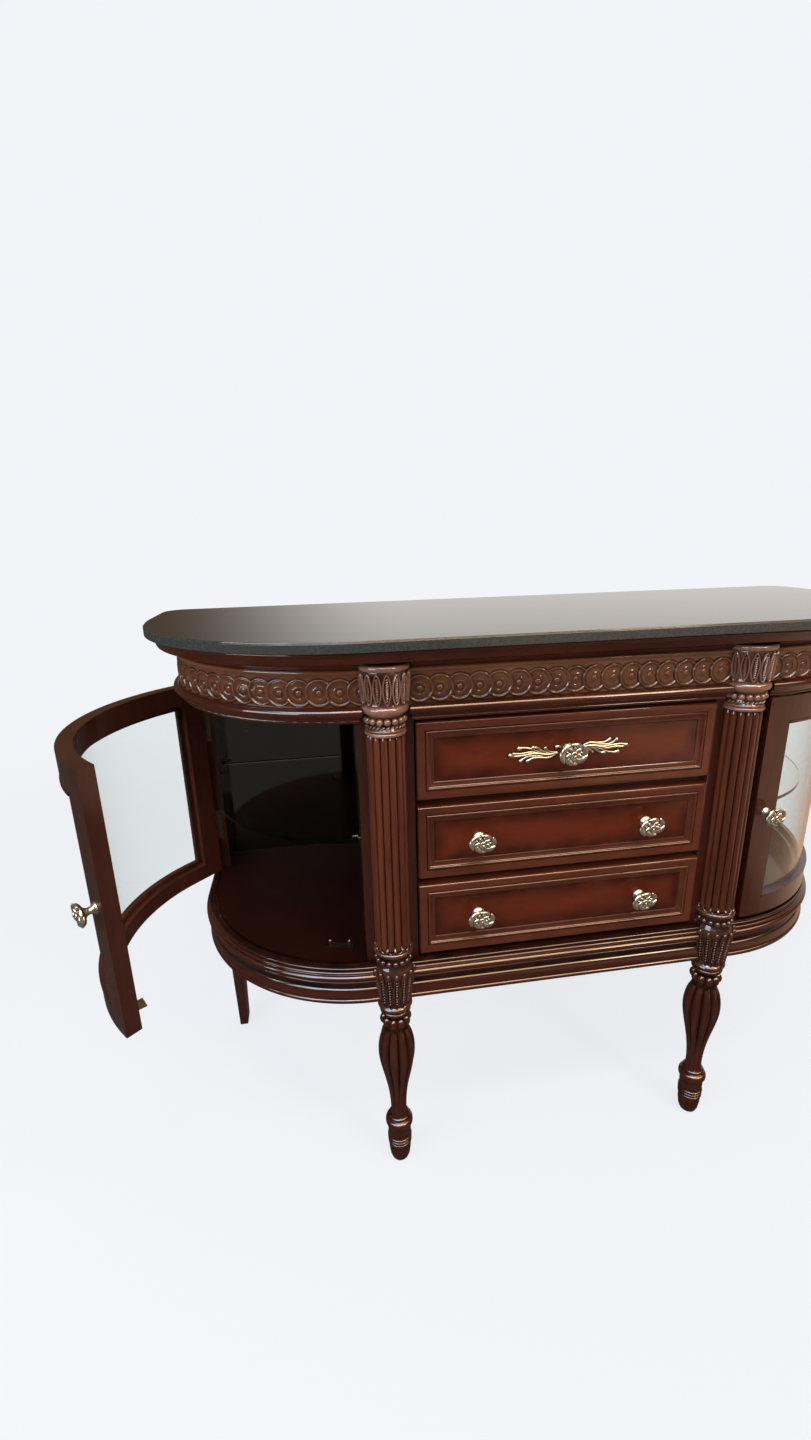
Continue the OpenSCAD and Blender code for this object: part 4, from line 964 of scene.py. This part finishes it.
def knob_master():
    """A knob at the origin that stands out along -Y"""
    stem = turned("stem", [(0, 0), (8.4, 0), (8.6, 1), (7.6, 2.4), (5.6, 3.6), (4.8, 6), (4.6, 10), (6, 13),
                           (9, 15.4), (12.5, 16.6), (14.6, 17.8), (15, 19), (13.6, 20.4), (9, 21.4), (5, 21.8),
                           (0, 22)], 40)
    stem.data.transform(Matrix.Rotation(pi / 2, 4, "X"))

    def oval(p):
        spread = eased(13 * mm, 17 * mm, -p.y)
        return Vector((p.x * (1 + 0.14 * spread), p.y, p.z * (1 - 0.1 * spread)))

    hollowed(shaped(stem, oval), lambda p: eased(15 * mm, 18.4 * mm, -p.y))
    parts = [stem]
    for count, start, size, reach, out, swirl, bow in (
        (6, 12, (9.4, 3.0, 3.9), (14.6, 11.0), 20.6, 74, 0.34),
        (5, 48, (4.6, 1.7, 3.0), (6.9, 5.6), 22.6, 0, 0.0),
        (5, 12, (2.3, 1.3, 1.5), (8.8, 7.3), 21.6, 0, 0.0),
    ):
        for k in range(count):
            a = radians(360 * k / count + start)
            leaf = ball("petal", *size, (0, 0, 0), 0, 16)
            long, thick = size[0] * mm, size[1] * mm
            shaped(leaf, lambda p: Vector((p.x, p.y - 0.5 * thick * p.x / long,
                                           p.z * (1 - 0.35 * p.x / long) + bow * long * (p.x / long) ** 2)))
            spot = Matrix.Translation((reach[0] * mm * cos(a), -out * mm, reach[1] * mm * sin(a)))
            leaf.data.transform(spot @ Matrix.Rotation(-(a + radians(swirl)), 4, "Y"))
            edge = out * mm
            parts.append(hollowed(leaf, lambda p: 1 - eased(edge - 1.6 * mm, edge + 0.6 * mm, -p.y)))
    heart = wire_ring(2.7, 1.5, 20, 10)
    heart.data.transform(Matrix.Translation((0, -23.6 * mm, 0)) @ Matrix.Rotation(pi / 2, 4, "X"))
    parts.append(hollowed(heart, lambda p: 1 - eased(22.4 * mm, 24 * mm, -p.y)))
    whole = joined("knob", parts)
    whole.data.transform(Matrix.Diagonal((1.17, 1, 1.05, 1)))
    return whole


knob = knob_master()
knob_x, knob_y, pull_z = 136, panel_y - 0.5, 740
for level, z in (("middle", 608.5), ("bottom", 476)):
    drawer = "drawer_" + level
    pair = [copied(knob, Matrix.Translation(Vector((x, knob_y, z)) * mm) @ Matrix.Rotation(radians(t), 4, "Y"))
            for x, t in ((-knob_x, 8), (knob_x, -10))]
    fitted(joined("flower_knobs_" + level, pair), drawer, brass, [drawer + "_knobs"], 60)


leaf_thick, leaf_out = 0.9, 1.6


def spray(points, widths):
    """One leaf of the spray: a bent, tapering tongue with a round tip"""
    curve = bpy.data.curves.new("leaf", "CURVE")
    curve.dimensions = "3D"
    curve.bevel_depth = mm
    curve.bevel_resolution = 3
    curve.use_fill_caps = True
    curve.resolution_u = 8
    line = curve.splines.new("BEZIER")
    line.bezier_points.add(len(points) - 1)
    for spot, (x, z), width in zip(line.bezier_points, points, widths):
        spot.co = (x * mm, 0, z * mm)
        spot.radius = width
        spot.handle_left_type = spot.handle_right_type = "AUTO"
    piece = bpy.data.objects.new("leaf", curve)
    scene.collection.objects.link(piece)
    alone(piece)
    bpy.ops.object.convert(target="MESH")
    piece = bpy.context.object
    last_x, last_z = points[-1]
    tip_r = widths[-1] * 1.12
    tip = ball("tip", tip_r, widths[-1] * 1.05, tip_r, (last_x, 0, last_z), 0, 12)
    piece = joined("leaf", [piece, tip])
    shaped(piece, lambda p: Vector((p.x, p.y * leaf_thick, p.z)))
    return hollowed(piece, lambda p: 1 - eased(-0.4 * mm, 0.9 * mm, -p.y))


wing_lines = [
    ([(17, 3), (34, 4.5), (52, 1.5), (70, 3.2), (84, 3.6), (91, 1.6)], [1.5, 2.3, 2.1, 1.9, 1.7, 3.0]),
    ([(46, 1), (60, -1.2), (74, 0.2), (86, -0.5)], [0.8, 1.5, 1.7, 1.9]),
    ([(20, 5), (32, 9.4), (46, 8.4), (57, 9.0), (64, 12.4)], [0.9, 1.7, 1.8, 1.7, 2.7]),
    ([(34, 6), (50, 5.6), (62, 5.2), (71, 8.4), (75, 11.6)], [0.8, 1.4, 1.6, 1.6, 2.6]),
    ([(18, 1.0), (26, 1.4), (33, -1.6), (37, -6)], [0.9, 1.5, 1.7, 2.3]),
    ([(24, 3.4), (35, 1.6), (44, -3.2), (51, -7.6), (56, -8)], [0.9, 1.7, 1.9, 1.9, 2.8]),
    ([(38, 2.2), (50, -1.8), (60, -6.6), (71, -8.8), (78, -8.2)], [0.8, 1.6, 1.8, 1.8, 3.0]),
    ([(13, -5), (17, -7.4), (19.5, -6.4)], [2.0, 2.1, 2.4]),
]
handle = [copied(knob, Matrix.Diagonal((1.06, 1, 1.15, 1)))]
for half_turn in (0, pi):
    for points, widths in wing_lines:
        tongue = spray(points, widths)
        tongue.data.transform(Matrix.Rotation(half_turn, 4, "Y") @ Matrix.Translation((0, -leaf_out * mm, 0)))
        handle.append(tongue)
pull = joined("leaf_pull", handle)
pull.data.transform(Matrix.Translation(Vector((0, knob_y, pull_z)) * mm))
fitted(pull, "drawer_top", brass, ["drawer_top_pull"], 60)

# Curved doors: bent frames with clear glass held in a rebate, an oval knob on the free
# stile and two barrel hinges at the back. The left one stands open by an eighth turn.
door_finish = timber("door_frame", (0.036, 0.0095, 0.0055), (0.07, 0.019, 0.010), upright)
glass, tree, surface = new_finish("clear_glass")
surface.inputs["Base Color"].default_value = (0.93, 0.97, 0.95, 1)
surface.inputs["Transmission Weight"].default_value = 1.0
surface.inputs["IOR"].default_value = 1.5
smear = noise(tree, own_points(tree), Scale=7, Detail=3)
tree.links.new(ranged(tree, smear, 0.0, 1.0, 0.0, 0.035), surface.inputs["Roughness"])
clear = wired(tree, "ShaderNodeBsdfTransparent", Color=(0.94, 0.97, 0.96, 1))
shadow_ray = wired(tree, "ShaderNodeLightPath").outputs["Is Shadow Ray"]
pane = overlaid(tree, shadow_ray, surface, clear)
tree.links.new(pane.outputs[0], tree.nodes["Material Output"].inputs[0])
for side in ("left", "right"):
    door = "door_" + side
    dress(door_finish, door + "_rails", door + "_stile_hinge", door + "_stile_free")
    dress(glass, door + "_glass", "shelf_glass_" + side)
    dress(plain_brass, door + "_hardware")
free_a, ajar = radians(6.49), radians(45)
door_knob_z, hinge_x, hinge_y = 609.5, 598.6, 347
for side in ("left", "right"):
    spot = Vector((arc_x + face_r * sin(free_a), arc_y - face_r * cos(free_a), door_knob_z)) * mm
    stand = Matrix.Translation(spot) @ Matrix.Rotation(free_a, 4, "Z")
    if side == "left":
        hinge = Vector((hinge_x, hinge_y, 0)) * mm
        swing = Matrix.Translation(hinge) @ Matrix.Rotation(ajar, 4, "Z") @ Matrix.Translation(-hinge)
        stand = Matrix.Diagonal((-1, 1, 1, 1)) @ swing @ stand
    piece = copied(knob, stand @ Matrix.Diagonal((0.88, 1, 1, 1)))
    if side == "left":
        piece.data.flip_normals()
    piece.name = "door_flower_knob_" + side
    fitted(piece, "door_" + side, brass, ["door_" + side + "_knob"], 60)
scrapped(knob)

# Small metal: the fixed hinge halves and the glides under the feet are plain brass;
# the shelf pins and the sprung catches on the deck are dark bronze.
dark_bronze, tree, surface = new_finish("dark_bronze")
rubbed = noise(tree, own_points(tree), Scale=240, Detail=4)
tree.links.new(between_limits(tree, rubbed, 0.35, 0.7, 0.28, 0.5), surface.inputs["Roughness"])
surface.inputs["Base Color"].default_value = (0.12, 0.08, 0.055, 1)
surface.inputs["Metallic"].default_value = 1.0
dress(plain_brass, "hinges_fixed", "foot_glides")
dress(dark_bronze, "shelf_pins", "door_catches")

# Back panels: thin stained boards, pinned to the posts from behind. In both compartments
# a sheet of smoked mirror glass with eased edges lies on the board, behind the shelf.
back_finish, tree, surface = new_finish("smoked_mirror")
bloom = noise(tree, own_points(tree), Scale=3.2, Detail=3)
smoke = blended(tree, bloom, (0.28, 0.28, 0.27, 1), (0.36, 0.36, 0.35, 1))
tree.links.new(smoke, surface.inputs["Base Color"])
surface.inputs["Metallic"].default_value = 1.0
surface.inputs["Roughness"].default_value = 0.06
rear_finish = timber("stained_rear_board", (0.05, 0.022, 0.011), (0.09, 0.042, 0.022), upright,
                     polish=0.55, coat=0.0)
mirror_t, pins, pin_in, first_pin = 2.5, 9, 8, 12


def sheet(name, low, high, ease):
    """A flat sheet between two corners with its edges eased"""
    corners = [(x, y, z) for x in (low[0], high[0]) for y in (low[1], high[1]) for z in (low[2], high[2])]
    sides = [(0, 1, 3, 2), (4, 6, 7, 5), (0, 4, 5, 1), (2, 3, 7, 6), (0, 2, 6, 4), (1, 5, 7, 3)]
    piece = drawn(name, corners, (), sides)
    bpy.ops.object.mode_set(mode="EDIT")
    bpy.ops.mesh.select_all(action="SELECT")
    bpy.ops.mesh.bevel(offset=ease * mm, segments=2)
    bpy.ops.object.mode_set(mode="OBJECT")
    return outward(piece)


for side in ("center", "left", "right"):
    low, high = [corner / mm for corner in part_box("back_panel_" + side)]
    glass_t = 0 if side == "center" else mirror_t
    if glass_t:
        pane = sheet("mirror_" + side, low, (high.x, low.y + glass_t, high.z), 0.7)
        fitted(pane, "carcase", back_finish, (), 20)
    face = high.y - 0.6
    parts = [sheet("board", (low.x, low.y + glass_t, low.z), (high.x, face, high.z), 0.5)]
    for k in range(pins):
        x = low.x + first_pin + (high.x - low.x - 2 * first_pin) * k / (pins - 1)
        z = low.z + first_pin + (high.z - low.z - 2 * first_pin) * k / (pins - 1)
        spots = [(x, face, low.z + pin_in), (x, face, high.z - pin_in)]
        spots += [(low.x + pin_in, face, z), (high.x - pin_in, face, z)]
        parts += [ball("pin", 2.2, 0.6, 2.2, spot, 0, 8) for spot in spots]
    board = joined("rear_board_" + side, parts)
    fitted(board, "carcase", rear_finish, ["back_panel_" + side], 20)

bpy.context.view_layer.update()
low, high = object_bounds()
